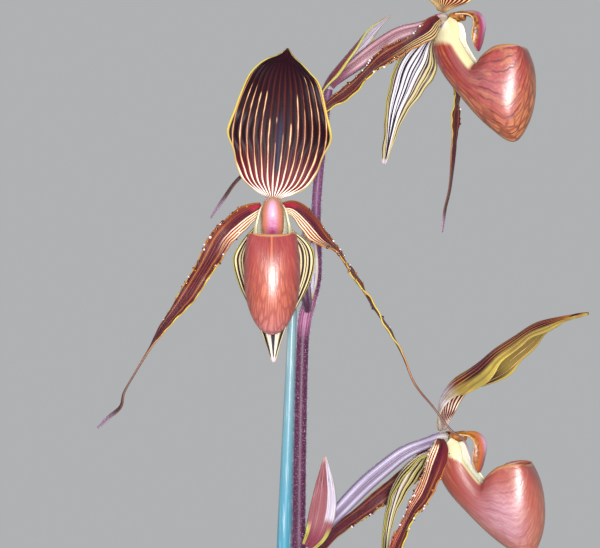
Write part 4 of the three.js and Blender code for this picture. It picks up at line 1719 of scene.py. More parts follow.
@dataclass
class PottingMix:
    """Coarse bark that fills the pot, in millimetres."""

    pot: Pot
    level: float = 110.0
    dome: float = 3.0
    gap: float = 0.5
    well: Pair = (21.0, 10.0)
    bare_rim: float = 9.0
    bare_well: float = 3.0
    knobs: Pair = (610.0, 540.0)
    knob_height: float = 1.2
    knock: float = 4.5
    shade: float = 0.35
    fan_angle: float = math.radians(14)
    rings: int = 60
    sides: int = 120
    coat: Coat = Coat(density=36000, width=0.0165, height=0.0055, tilt=0.42, seed=7)

    def make(self) -> Object:
        """Builds the mix with its loose chips.

        Returns:
            The piece.
        """
        low = self.pot.floor + self.gap
        edge = self.pot.radius_at(self.level) - self.pot.wall - self.gap
        foot = self.pot.radius_at(low) - self.pot.wall - self.gap
        section = [(0.3, low), (foot, low)]
        section += [
            (float(mix(foot, edge, t)), float(mix(low, self.level, t))) for t in (0.25, 0.5, 0.75, 0.98)]
        section += [
            (edge * r, self.level + self.dome * (1 - r * r)) for r in np.linspace(1, 0.006, self.rings)]
        body = turned_body("bark_mix", section, self.sides)
        points = vertices_of(body.data)
        radius = np.hypot(points[:, 0], points[:, 1]) / MM
        turn = np.array([math.cos(self.fan_angle), math.sin(self.fan_angle)])
        run = np.abs(points[:, :2] @ turn) / MM
        side = np.abs(points[:, :2] @ np.array([-turn[1], turn[0]])) / MM
        slot = np.hypot(np.maximum(run - self.well[0] + self.well[1], 0), side)
        top = points[:, 2] > (self.level - 0.5) * MM
        amount = top * (radius < edge - self.bare_rim) * (slot > self.well[1] + self.bare_well)
        knob = np.sin(points[:, 0] * self.knobs[0]) * np.sin(points[:, 1] * self.knobs[1] + 1.3)
        points[:, 2] += self.knob_height * MM * (knob * top * (radius < edge - 2))
        body.data.vertices.foreach_set("co", points.astype(np.float32).ravel())
        add_values(body, amount=amount.astype(float), shade=np.full(len(points), self.shade))
        bark = BarkFinish().material()
        made = grow(body, strewing(Grain.CHIP, self.knock * MM), self.coat.sizes(bark, bark))
        return finish_piece(made, "bark_mix", "potting_mix")


def vertices_of(mesh: bpy.types.Mesh) -> Array:
    """Returns a mesh's vertices, one a row.

    Args:
        mesh: The mesh.

    Returns:
        The positions.
    """
    points = np.zeros(len(mesh.vertices) * 3, np.float32)
    mesh.vertices.foreach_get("co", points)
    return points.reshape(-1, 3).astype(float)


@dataclass
class Stake:
    """Straight round stake that leans towards the stem, in millimetres."""

    foot: float = 35.0
    top: float = 506.0
    top_x: float = -3.05
    top_y: float = 0.7
    lean: float = 0.0363
    slant: float = 0.06
    radius: Profile = Profile((35, 3.7), (300, 3.7), (408, 3.15), (488, 2), (506, 1.8))
    tip: float = 1.2
    tip_steps: tuple[float, ...] = (0.4, 0.7, 0.9, 1.0)
    tip_least: float = 0.06
    steps: int = 120
    sides: int = 40
    coat: Coat = Coat(density=0.0, width=0.0001, height=0.0001, tilt=0.0, seed=1)

    def make(self) -> Object:
        """Builds the stake.

        Returns:
            The piece.
        """
        heights = np.concatenate(
            [np.linspace(self.foot, self.top - self.tip, self.steps),
            self.top - self.tip * (1 - np.array(self.tip_steps))])
        drop = self.top - heights
        points = np.stack([self.top_x - self.lean * drop, self.top_y + self.slant * drop, heights], axis=1)
        past = np.clip(heights - self.top + self.tip, 0, None) / self.tip
        rounding = np.sqrt(np.clip(1 - past**2, self.tip_least, 1))
        core = line_of("blue_stake", points * MM, self.radius(heights) * rounding * MM)
        blue = StakeFinish().material()
        inputs = {"Sides": self.sides, "Ribs": 0.0, "Rib Depth": 0.0, **self.coat.sizes(blue, blue)}
        made = grow(core, stalking(), inputs)
        return finish_piece(made, "stake_blue", "stake")


# The plant's green parts


@dataclass
class Leaf:
    """One strap leaf of the fan, in millimetres and degrees."""

    length: float
    half_width: float
    lean: float
    droop: float
    swing: float


@dataclass
class LeafFan:
    """Seven leaves in two ranks, in millimetres."""

    level: float = 110.0
    root_depth: float = 12.0
    sheath: float = 26.0
    thickness: float = 1.5
    root_half_width: float = 9.0
    root_roll: float = 1 / 9
    face_roll: float = 0.012
    keel: float = 1.6
    wave: float = 0.9
    ripple: float = 0.35
    edge: float = 0.35
    first_offset: float = 5.2
    offset_step: float = 2.3
    fan_angle: float = math.radians(14)
    steps: int = 48
    rows: int = 96
    columns: int = 24
    outline: Profile = Profile(
        (0.16, 0.62), (0.3, 0.88), (0.52, 1), (0.74, 0.84), (0.88, 0.54), (0.96, 0.27), (1, 0.05))
    leaves: tuple[Leaf, ...] = (
        Leaf(225, 18, 13, 46, 4), Leaf(250, 19, 17, 62, -5), Leaf(285, 20, 29, 80, -7),
        Leaf(300, 21, 33, 92, 6), Leaf(310, 21, 44, 104, 9), Leaf(300, 20, 50, 112, -9),
        Leaf(260, 18, 62, 118, -11))

    def heading(self, index: int, swing: float) -> Array:
        """Returns the level direction in which a leaf leaves the fan."""
        angle = (math.pi if index % 2 == 0 else 0.0) + self.fan_angle + math.radians(swing)
        return np.array([math.cos(angle), math.sin(angle), 0.0])

    def spine(self, index: int) -> list[Array]:
        """Returns the points of one leaf's middle line.

        Args:
            index: Which leaf, from 0.

        Returns:
            The points.
        """
        leaf = self.leaves[index]
        point = self.heading(index, 0) * (self.first_offset + self.offset_step * index)
        point[2] = self.level - self.root_depth
        sheath = self.sheath / leaf.length
        step = leaf.length / self.steps
        points = [point.copy()]
        for i in range(1, self.steps + 1):
            free = float(np.clip(((i - 0.5) / self.steps - sheath) / (1 - sheath), 0, 1))
            tilt = math.radians(
                leaf.lean * float(ramp(free, 0, 0.16)) + (leaf.droop - leaf.lean) * free**1.4)
            heading = self.heading(index, leaf.swing * float(ramp(free, 0, 0.6)))
            point = point + step * (math.cos(tilt) * np.array([0, 0, 1.0]) + math.sin(tilt) * heading)
            if i % 4 == 0:
                points.append(point.copy())
        return points

    def blade(self, index: int) -> Strap:
        """Returns one leaf's middle surface.

        Args:
            index: Which leaf, from 0.

        Returns:
            The surface.
        """
        leaf = self.leaves[index]
        sheath = self.sheath / leaf.length
        facing = -self.heading(index, 0) + np.array([0, 0, 1.0])
        return Strap(
            spine=self.spine(index), facing=tuple(facing),
            half_width=lambda s, u: mix(
                self.root_half_width, leaf.half_width * self.outline(s), ramp(s, sheath, 2.2 * sheath + 0.05)),
            roll=lambda s: mix(self.root_roll, self.face_roll, ramp(s, 0.8 * sheath, 3 * sheath + 0.08)),
            wave=lambda s, u: ramp(s, sheath, 4 * sheath) * (
                self.keel * np.abs(u) ** 1.15 + self.wave * u * np.sin(9 * s + 2 * index)
                + self.ripple * u * u * np.sin(23 * s + index)))

    def make(self) -> list[Object]:
        """Builds the leaves.

        Returns:
            The leaves in order.
        """
        green = LeafFinish().material()
        made = []
        for index in range(len(self.leaves)):
            surface = in_metres(self.blade(index))
            sheet = Sheet(surface, self.rows, self.columns, self.thickness * MM, self.edge)
            leaf = sheet.mesh(f"strap_leaf_{index + 1}")
            leaf.data.materials.append(green)
            made.append(finish_piece(leaf, "leaf_green", f"leaf_{index + 1}"))
        return made


def in_metres(surface: Surface, yaw: float = 0.0, attach: Point = (0, 0, 0)) -> Surface:
    """Turns a surface in millimetres into one in metres, at a flower's place.

    Args:
        surface: The surface.
        yaw: The flower's turn about the Z axis, in radians.
        attach: Where the flower's parts meet.

    Returns:
        The new surface.
    """
    return lambda s, u: (turned_about_up(surface(s, u), yaw) + np.array(attach, float)) * MM


@dataclass
class FlowerStem:
    """Hairy purple stem that bends a little at each flower's node, in millimetres."""

    path: tuple[Point, ...] = (
        (0, 0, 98), (0.6, 0, 170), (0.2, 0, 240), (-0.6, 0, 320), (-0.5, 0, 405), (0.1, 0, 452),
        (1, 0, 488), (2.1, 0, 501), (3.9, 0, 508), (7, 0, 520), (6.9, 0, 549), (9.6, 0, 578),
        (11.6, 0, 594), (12.2, 0, 598))
    radius: Profile = Profile(
        (0, 3.2), (0.55, 2.9), (0.6, 3), (0.615, 3.2), (0.63, 2.85), (0.78, 2.6), (0.815, 2.8), (0.84, 2.2),
        (0.95, 1.9), (1, 1.7))
    swell: float = 0.02
    swell_waves: Pair = (190.0, 67.0)
    rows: int = 420
    sides: int = 20
    coat: Coat = Coat(density=1.5e6, width=0.00007, height=0.0012, tilt=0.5, seed=3)
    fuzz: FuzzFinish = FuzzFinish("stem_fuzz", "c8b4d0", "5a3650")

    def make(self) -> Object:
        """Builds the stem with its hairs.

        Returns:
            The piece.
        """
        s = np.linspace(0, 1, self.rows + 1)
        points = SmoothPath(self.path).at(s)[0]
        swell = 1 + self.swell * np.sin(s * self.swell_waves[0]) * np.sin(s * self.swell_waves[1])
        core = line_of("purple_stem", points * MM, self.radius(s) * swell * MM)
        coat = self.coat.sizes(body=StemFinish().material(), strewn=self.fuzz.material())
        inputs = {"Sides": self.sides, "Ribs": 0.0, "Rib Depth": 0.0, **coat}
        return finish_piece(grow(core, stalking(), inputs), "stem_purple", "flower_stem")


# The flowers. Places in a flower are (side, front, up) in millimetres from where its parts meet.


@dataclass
class Seat:
    """Where a flower sits.

    Attributes:
        name: The flower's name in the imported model.
        attach: Where its parts meet, in millimetres.
        yaw: Its turn about the Z axis, in radians.
        nod: How far its pouch tips up at the front, in radians.
    """

    name: str
    attach: Point
    yaw: float
    nod: float = 0.0

    def placed(self, surface: Surface) -> Surface:
        """Puts one of the flower's surfaces in its place, in metres."""
        return in_metres(surface, self.yaw, self.attach)

    def node(self, part: str) -> str:
        """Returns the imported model's name of a part."""
        return f"{self.name}_{part}"


@dataclass
class Dorsal:
    """The upright sepal."""

    spine: tuple[Point, ...]
    roll: float
    turn: float = 0.0
    ribs: float = 7.0
    rib_height: float = 0.16
    sway: float = 0.9
    frill: float = 0.25
    thickness: float = 0.8
    rows: int = 84
    columns: int = 84
    outline: Profile = Profile(
        (0, 3.4), (0.04, 8.5), (0.09, 12.8), (0.18, 16.2), (0.3, 18.4), (0.38, 20.8), (0.44, 21.2),
        (0.56, 19), (0.7, 16.4), (0.8, 13.8), (0.86, 10.6), (0.91, 7), (0.95, 3.2), (1, 0.5))
    hull: Profile = Profile(
        (0, 3.4), (0.09, 12.8), (0.18, 16.8), (0.3, 19.6), (0.42, 20.4), (0.56, 19.4), (0.7, 16.6),
        (0.82, 12.8), (0.9, 8), (0.96, 3.2), (1, 0.8))

    def make(self, seat: Seat, finish: DorsalFinish) -> Object:
        """Builds the sepal.

        Args:
            seat: Where the piece sits.
            finish: Its look.

        Returns:
            The piece.
        """
        blade = Strap(
            spine=[flower_point(p) for p in self.spine],
            facing=(0, -1, 0),
            half_width=lambda s, u: self.outline(s),
            turn=lambda s: self.turn * ramp(s, 0, 0.1),
            roll=lambda s: self.roll + 0 * s,
            wave=lambda s, u: self.sway * u * u * np.sin(11 * s + 2 * u)
            + self.rib_height * np.cos(math.tau * self.ribs * u) * ramp(s, 0, 0.12)
            + self.frill * u**4 * np.sin(37 * s + 3 * u),
        )
        sheet = Sheet(seat.placed(blade), self.rows, self.columns, self.thickness * MM)
        made = sheet.mesh(seat.name + "_striped_dorsal")
        s, u = (read_values(made, key) for key in ("along", "across"))
        add_values(made, stripe=self.outline(s) * u / self.hull(s))
        made.data.materials.append(finish.material())
        return finish_piece(made, "dorsal_striped", seat.node("dorsal_sepal"))


@dataclass
class Synsepal:
    """The two lower sepals, grown as one."""

    spine: tuple[Point, ...]
    roll: float
    width: float
    turn: float = 0.0
    ribs: float = 5.0
    rib_height: float = 0.28
    sway: float = 0.6
    frill: float = 0.25
    thickness: float = 0.8
    rows: int = 84
    columns: int = 80
    outline: Profile = Profile(
        (0, 3), (0.08, 8), (0.2, 15), (0.3, 16.8), (0.45, 14.8), (0.6, 10.6), (0.75, 6), (0.88, 2.8),
        (1, 0.6))

    def make(self, seat: Seat, finish: SynsepalFinish) -> Object:
        """Builds the sepal.

        Args:
            seat: Where the piece sits.
            finish: Its look.

        Returns:
            The piece.
        """
        blade = Strap(
            spine=[flower_point(p) for p in self.spine],
            facing=(0, -1, 0),
            half_width=lambda s, u: self.width * self.outline(s),
            turn=lambda s: self.turn * ramp(s, 0, 0.25),
            roll=lambda s: self.roll + 0 * s,
            wave=lambda s, u: self.sway * u * u * np.sin(10 * s + u)
            - self.rib_height * np.cos(math.tau * self.ribs * u) * ramp(s, 0.02, 0.2)
            + self.frill * u**4 * np.sin(41 * s),
        )
        sheet = Sheet(seat.placed(blade), self.rows, self.columns, self.thickness * MM)
        made = sheet.mesh(seat.name + "_striped_synsepal")
        made.data.materials.append(finish.material())
        return finish_piece(made, "synsepal_striped", seat.node("synsepal"))


@dataclass
class Petal:
    """A long petal with a rolled lobe at its foot, warts and a thin tail."""

    part: str
    spine: tuple[Point, ...]
    facing: Point
    turn: tuple[Pair, ...]
    lobe_side: int
    coat: Coat
    lobe_roll: float = -0.13
    blade_roll: float = 0.05
    sway: float = 0.7
    frill: float = 0.34
    fewer_below: float = 0.45
    thickness: float = 0.8
    rows: int = 260
    columns: int = 28
    outline: Profile = Profile(
        (0, 2), (0.05, 3.4), (0.12, 4.7), (0.25, 4.7), (0.4, 3.8), (0.55, 2.9), (0.68, 1.9), (0.77, 1.1),
        (0.86, 0.9), (0.95, 1), (1, 0.5))
    lobe: Profile = Profile(
        (0, 0), (0.04, 0.25), (0.09, 0.3), (0.15, 0.12), (0.2, 0))

    def make(self, seat: Seat, finish: Material, warts: Material) -> Object:
        """Builds the petal with its warts.

        Args:
            seat: Where the piece sits.
            finish: Its look.
            warts: The look of its warts.

        Returns:
            The piece.
        """
        turn = Profile(*self.turn)
        blade = Strap(
            spine=[flower_point(p) for p in self.spine],
            facing=flower_point(self.facing),
            half_width=lambda s, u: self.outline(s) * np.where(u * self.lobe_side > 0, 1 + self.lobe(s), 1),
            turn=turn,
            roll=lambda s: mix(self.lobe_roll, self.blade_roll, ramp(s, 0.1, 0.22)),
            wave=lambda s, u: self.sway * u * np.sin(34 * s) * (1 - ramp(s, 0.4, 0.7))
            + self.frill * u**5 * np.sin(110 * s + 2 * u) * (1 - ramp(s, 0.45, 0.7)),
        )
        name = f"{seat.name}_{self.part}_spotted"
        made = Sheet(seat.placed(blade), self.rows, self.columns, self.thickness * MM).mesh(name)
        s, u = (read_values(made, key) for key in ("along", "across"))
        outer = u * self.lobe_side
        margin = ramp(np.abs(u), 0.72, 0.9)
        amount = margin * np.where(
            outer > 0, ramp(s, 0.03, 0.07) * (1 - ramp(s, 0.42, 0.6)),
            self.fewer_below * ramp(s, 0.1, 0.16) * (1 - ramp(s, 0.3, 0.45)))
        add_values(made, outer=outer, amount=amount)
        made = grow(made, strewing(Grain.WART), self.coat.sizes(finish, warts))
        return finish_piece(made, "petal_maroon", seat.node(self.part))


def read_values(made: Object, name: str) -> Array:
    """Reads one of an object's vertex attributes.

    Args:
        made: The object.
        name: Its name.

    Returns:
        One value a vertex.
    """
    numbers = np.zeros(len(made.data.vertices), np.float32)
    made.data.attributes[name].data.foreach_get("value", numbers)
    return numbers.astype(float)


@dataclass(frozen=True)
class Pouch:
    """The slipper: its sides run from a keel to the margin."""

    rows: int = 128
    columns: int = 72
    thickness: float = 0.9
    edge: float = 0.7
    keel: tuple[Pair, ...] = (
        (-2, -5.1), (-4.4, -9), (-4.9, -13.9), (-0.9, -22.7), (7.1, -32.3), (15.5, -41.2), (22.5, -47),
        (28.7, -50.8), (32.9, -49.4), (36.9, -41), (38.3, -31.5), (37.4, -21.5), (34, -12.8))
    margin: tuple[Pair, ...] = (
        (2.2, -0.3), (5.6, -2.4), (6.9, -6.5), (7.6, -10.6), (13.9, -19.6), (16.4, -17.2), (19.2, -14.8),
        (22, -13), (24.8, -12.2), (27.6, -11.9), (30, -12), (31.6, -12.3), (32.6, -12.6))
    half_width: Profile = Profile(
        (0, 4), (0.12, 6), (0.25, 8), (0.36, 9.4), (0.5, 10.4), (0.68, 10.3), (0.85, 8.8), (1, 7.2))
    sweep: Profile = Profile(
        (0, 1.85), (0.2, 2.1), (0.35, 2.45), (0.6, 2.3), (0.8, 1.9), (1, 1.45))

    def surface(self, s: Array, u: Array) -> Array:
        """Returns the pouch's middle surface.

        Args:
            s: Place along, 0 to 1.
            u: Place across, -1 to 1.

        Returns:
            The points.
        """
        low = SmoothPath(on_middle(self.keel)).knot_point(s)
        high = SmoothPath(on_middle(self.margin)).knot_point(s)
        sweep = self.sweep(s)
        rise = (1 - np.cos(sweep * u)) / (1 - np.cos(sweep))
        point = mix(low, high, rise[..., None])
        point[..., 0] = self.half_width(s) * np.sin(sweep * u)
        return point

    def make(self, seat: Seat, finish: PouchFinish) -> Object:
        """Builds the pouch.

        Args:
            seat: Where the piece sits.
            finish: Its look.

        Returns:
            The piece.
        """
        tip = np.array(
            [[1, 0, 0], [0, math.cos(seat.nod), -math.sin(seat.nod)],
            [0, math.sin(seat.nod), math.cos(seat.nod)]])
        nodding = seat.placed(lambda s, u: self.surface(s, u) @ tip)
        sheet = Sheet(nodding, self.rows, self.columns, self.thickness * MM, self.edge)
        made = sheet.mesh(seat.name + "_veined_pouch")
        made.data.materials.append(finish.material())
        return finish_piece(made, "pouch_red", seat.node("pouch"))


@dataclass(frozen=True)
class Column:
    """The column's stub and the shield that it carries."""

    stub: tuple[Pair, ...] = ((0.7, -0.6), (4, 0), (8, 0.6))
    stub_radius: float = 2.2
    stub_steps: int = 24
    stub_sides: int = 32
    stub_paint: Pair = (0.3, 0.75)
    beard_tip: Colour = "a86a20"
    beard_root: Colour = "45182a"
    dent: float = 0.9
    boss: float = 0.5
    edge: float = 0.45
    spine: tuple[Pair, ...] = ((3.8, 1.4), (9.5, 1.7), (13.4, 0), (15.5, -4.2), (15.3, -9), (13.3, -14.6))
    outline: Profile = Profile(
        (0, 2.2), (0.2, 3.2), (0.4, 4.6), (0.6, 6.2), (0.8, 6.2), (0.92, 4.6), (1, 1.4))
    roll: float = 0.25
    thickness: float = 1.2
    rows: int = 48
    columns: int = 40
    coat: Coat = Coat(density=2.4e6, width=0.00005, height=0.0011, tilt=0.6, seed=11)

    def make(self, seat: Seat, finish: ShieldFinish) -> Object:
        """Builds the column with the hairs of its shield.

        Args:
            seat: Where the piece sits.
            finish: Its look.

        Returns:
            The piece.
        """
        blade = Strap(
            spine=list(on_middle(self.spine)),
            facing=(0, 1, -1),
            half_width=lambda s, u: self.outline(s),
            roll=lambda s: self.roll + 0 * s,
            wave=lambda s, u: -self.dent * np.exp(-((u / 0.34) ** 2) - ((s - 0.42) / 0.2) ** 2)
            + self.boss * np.exp(-((u / 0.25) ** 2) - ((s - 0.74) / 0.12) ** 2),
        )
        name = seat.name + "_shield"
        shield = Sheet(
            seat.placed(blade), self.rows, self.columns, self.thickness * MM, self.edge).mesh(name)
        s, u, back = (read_values(shield, key) for key in ("along", "across", "back"))
        bearded = ramp(np.abs(u), 0.7, 0.95) * (
            1 - ramp(s, 0.5, 0.68)) + (1 - back) * 0.5 * (1 - ramp(s, 0.5, 0.75))
        add_values(shield, amount=np.clip(bearded, 0, 1))
        beard = FuzzFinish(seat.name + "_beard", self.beard_tip, self.beard_root).material()
        skin = finish.material()
        shield = grow(shield, strewing(Grain.HAIR), self.coat.sizes(skin, beard))
        stub = self.make_stub(seat)
        stub.data.materials.append(skin)
        return finish_piece(joined_body(shield, stub), "column_peach", seat.node("column"))

    def make_stub(self, seat: Seat) -> Object:
        """Builds the round stub.

        Args:
            seat: Where the piece sits.

        Returns:
            The stub.
        """
        path = SmoothPath(on_middle(self.stub))

        def surface(s: Array, u: Array) -> Array:
            """Returns the stub's skin.

            Args:
                s: Place along, 0 to 1.
                u: Place across, -1 to 1.

            Returns:
                The points.
            """
            centre, along = path.at(s)
            side = np.broadcast_to(np.array([1.0, 0, 0]), along.shape)
            other = np.cross(along, side)
            reach = self.stub_radius * np.sqrt(np.clip(1 - (2 * s - 1) ** 10, 0.02, 1))
            angle = math.pi * u
            return centre + reach[..., None] * (
                side * np.cos(angle)[..., None] + other * np.sin(angle)[..., None])

        rings, sides = self.stub_steps + 1, self.stub_sides
        s, u = np.meshgrid(np.linspace(0, 1, rings), np.linspace(-1, 1, sides + 1)[:-1], indexing="ij")
        points = seat.placed(surface)(s, u).reshape(-1, 3)
        made = make_object(seat.name + "_stub", points, tube_faces(rings, sides))
        along, across = self.stub_paint
        whole = np.ones(len(points))
        add_values(made, along=whole * along, across=whole * across, back=whole)
        return made


def tube_faces(rings: int, sides: int) -> list[list[int]]:
    """Returns the faces of a closed tube of rings, with a disc at each end.

    Args:
        rings: Count of rings.
        sides: Points in one ring.

    Returns:
        The faces.
    """
    j = np.arange(sides)
    following = (j + 1) % sides
    faces = []
    for i in range(rings - 1):
        low, high = i * sides, (i + 1) * sides
        faces += np.stack([low + j, low + following, high + following, high + j], axis=1).tolist()
    faces.append(list(reversed(range(sides))))
    faces.append(list(range((rings - 1) * sides, rings * sides)))
    return faces


def joined_body(first: Object, second: Object) -> Object:
    """Puts two objects' meshes into the first.

    Args:
        first: The first one.
        second: The second one.

    Returns:
        The first object.
    """
    with bpy.context.temp_override(active_object=first, selected_editable_objects=[first, second]):
        bpy.ops.object.join()
    return first


@dataclass
class Ovary:
    """The ribbed, hairy ovary that carries a flower."""

    path: tuple[Point, ...]
    scale: float
    head: tuple[Pair, ...] = ((-12, -4), (-3, -1), (0.2, -0.7))
    radius: Profile = Profile(
        (0, 1.7), (0.12, 2.5), (0.3, 3.4), (0.5, 3.6), (0.72, 3.1), (0.86, 2.6), (0.94, 3.1), (0.98, 2.6),
        (1, 1.6))
    ribs: float = 6.0
    rib_depth: float = 0.13
    rows: int = 120
    sides: int = 48
    coat: Coat = Coat(density=1.1e6, width=0.000035, height=0.0006, tilt=0.5, seed=5)

    def make(self, seat: Seat, finish: OvaryFinish, fuzz: Material) -> Object:
        """Builds the ovary with its hairs.

        Args:
            seat: Where the piece sits.
            finish: Its look.
            fuzz: The look of its hairs.

        Returns:
            The piece.
        """
        head = turned_about_up(on_middle(self.head), seat.yaw) + np.array(seat.attach, float)
        s = np.linspace(0, 1, self.rows + 1)
        points = SmoothPath(np.vstack([np.array(self.path, float), head])).at(s)[0]
        radius = self.radius(s) * mix(self.scale, 1, ramp(s, 0.75, 0.9))
        core = line_of(seat.name + "_ribbed_ovary", points * MM, radius * MM)
        coat = self.coat.sizes(body=finish.material(), strewn=fuzz)
        inputs = {"Sides": self.sides, "Ribs": self.ribs, "Rib Depth": self.rib_depth, **coat}
        return finish_piece(grow(core, stalking(), inputs), "ovary_mauve", seat.node("ovary"))


@dataclass
class Bract:
    """The sheathing leaf at an ovary's foot."""

    spine: tuple[Point, ...]
    facing: Point
    roll: float
    width: float
    turn: float = 0.0
    sway: float = 0.3
    rib_height: float = 0.1
    ribs: float = 5.0
    thickness: float = 0.8
    rows: int = 60
    columns: int = 36
    outline: Profile = Profile(
        (0, 0.5), (0.2, 0.9), (0.45, 1), (0.7, 0.72), (0.9, 0.3), (1, 0.08))
    coat: Coat = Coat(density=0.9e6, width=0.00003, height=0.0005, tilt=0.5, seed=9)

    def make(self, seat: Seat, finish: BractFinish, fuzz: Material) -> Object:
        """Builds the bract with its hairs.

        Args:
            seat: Where the piece sits.
            finish: Its look.
            fuzz: The look of its hairs.

        Returns:
            The piece.
        """
        blade = Strap(
            spine=self.spine,
            facing=self.facing,
            half_width=lambda s, u: self.width * self.outline(s),
            turn=lambda s: self.turn * ramp(s, 0.2, 0.8),
            roll=lambda s: self.roll + 0 * s,
            wave=lambda s, u: self.sway * u * u * np.sin(17 * s + 2 * u)
            + self.rib_height * np.cos(math.tau * self.ribs * u),
        )
        sheet = Sheet(in_metres(blade), self.rows, self.columns, self.thickness * MM)
        made = sheet.mesh(seat.name + "_sheathing_bract")
        add_values(made, amount=read_values(made, "back"))
        made = grow(made, strewing(Grain.HAIR), self.coat.sizes(finish.material(), fuzz))
        return finish_piece(made, "bract_rose", seat.node("bract"))


@dataclass
class Looks:
    """The finishes of one flower."""

    dorsal: DorsalFinish
    synsepal: SynsepalFinish
    petal: PetalFinish
    pouch: PouchFinish
    shield: ShieldFinish
    ovary: OvaryFinish
    bract: BractFinish


@dataclass
class Flower:
    """One flower with its ovary and bract."""

    seat: Seat
    dorsal: Dorsal
    synsepal: Synsepal
    petals: tuple[Petal, ...]
    ovary: Ovary
    bract: Bract
    looks: Looks
    pouch: Pouch = Pouch()
    column: Column = Column()

    def make(self, warts: Material, fuzz: Material) -> list[Object]:
        """Builds every piece of the flower.

        Args:
            warts: The warts' finish.
            fuzz: The hairs' finish.

        Returns:
            The pieces.
        """
        skin = self.looks.petal.material()
        made = [petal.make(self.seat, skin, warts) for petal in self.petals]
        made.append(self.dorsal.make(self.seat, self.looks.dorsal))
        made.append(self.synsepal.make(self.seat, self.looks.synsepal))
        made.append(self.pouch.make(self.seat, self.looks.pouch))
        made.append(self.column.make(self.seat, self.looks.shield))
        made.append(self.ovary.make(self.seat, self.looks.ovary, fuzz))
        made.append(self.bract.make(self.seat, self.looks.bract, fuzz))
        return made


SIDE_VIEW = math.radians(72)
TOWARDS_CAMERA = (-0.95, 0.31, 0.0)
HOODED = 0.045
LEFT = "left_petal"
RIGHT = "right_petal"


def petal_coat(seed: int) -> Coat:
    """Gives the warts of one petal."""
    return Coat(density=0.55e6, width=0.00066, height=0.0007, tilt=0.2, seed=seed)


def middle_flower() -> Flower:
    """Gives the flower that faces the front.

    Returns:
        The flower.
    """
    return Flower(
        seat=Seat("middle", (-10.8, -45, 548), 0.0),
        dorsal=Dorsal(((0, -2.6, 2.55), (0.8, -2.4, 9), (2, -1.5, 20), (2.8, 0, 30), (3.6, 3, 42),
        (4.2, 7, 52), (6, 12.4, 60.8)), roll=0.014),
        synsepal=Synsepal(((0, -4.8, -5.3), (-0.3, -8, -12), (0.2, -11, -22), (0, -13.5, -34),
        (-0.3, -15.5, -46), (0, -16, -64)), roll=0.015, width=1.0),
        petals=(Petal(LEFT, ((-4.4, -2.5, -1), (-8.5, -3, -3.2), (-13.6, -4, -6.8), (-20.6, -5, -13.6),
        (-25, -4, -21.6), (-29.2, -2, -28.8), (-35.6, 0, -38.8), (-44, 2, -50), (-50.4, 3, -60),
        (-55.2, 4, -68), (-59.2, 4, -75.2), (-60.6, 4, -80.8), (-65.2, 5, -85), (-69.6, 6, -89.2)),
        facing=(0, 1, 0), lobe_side=1, coat=petal_coat(1), turn=((0, 0), (0.15, 0.3), (0.46, 0.4),
        (0.58, 1), (0.66, 1.4), (0.8, 1.5), (0.9, 0.9), (1, 0.5))),
        Petal(RIGHT, ((3.6, -2.5, -1), (8.6, -3, -2), (14.6, -4, -7.4), (20, -4, -14), (25.8, -3, -19.4),
        (33.6, -1, -30.8), (40.8, 1, -42), (50.8, 2, -58.4), (56.4, 3, -71.6), (64, 3, -81.2),
        (70.4, 4, -89.6), (76.4, 4, -94.8), (79.6, 4, -104.4)), facing=(0, 1, 0),
        turn=((0, 0), (0.06, -0.25), (0.14, -0.8), (0.22, -1.25), (0.32, -1.5), (1, -1.5)), lobe_side=-1,
        coat=petal_coat(2))),
        ovary=Ovary(((3.2, -4.2, 504.8), (2.8, -8.4, 509), (0.5, -17, 519), (-4, -26, 533)), scale=0.95),
        bract=Bract(((3.2, -3.4, 509.6), (3.6, -5.6, 520), (3.4, -8.4, 532), (3.2, -9.6, 546)),
        facing=(0, -1, 0), roll=0.14, width=4.2), looks=Looks(dorsal=DorsalFinish("middle_dorsal_striped"),
        synsepal=SynsepalFinish("middle_synsepal_striped", "ece4d0", "d6c894", 0.24, count=10.0),
        petal=PetalFinish("middle_petal_maroon"), pouch=PouchFinish("middle_pouch_red", "a23a36", "76202a",
        "bf6c50", "bf94b4", 0.45, 0.16, 0.7, highlight_at=0.0), shield=ShieldFinish("middle_shield", "c07458",
        "9a1c5c", "e0b878", 0.5), ovary=OvaryFinish("middle_ovary_mauve", "4a2440", "5c3a54", "866680",
        "c4b0cc"), bract=BractFinish("middle_bract", "9a7890", "6c4668", green=0.0)))


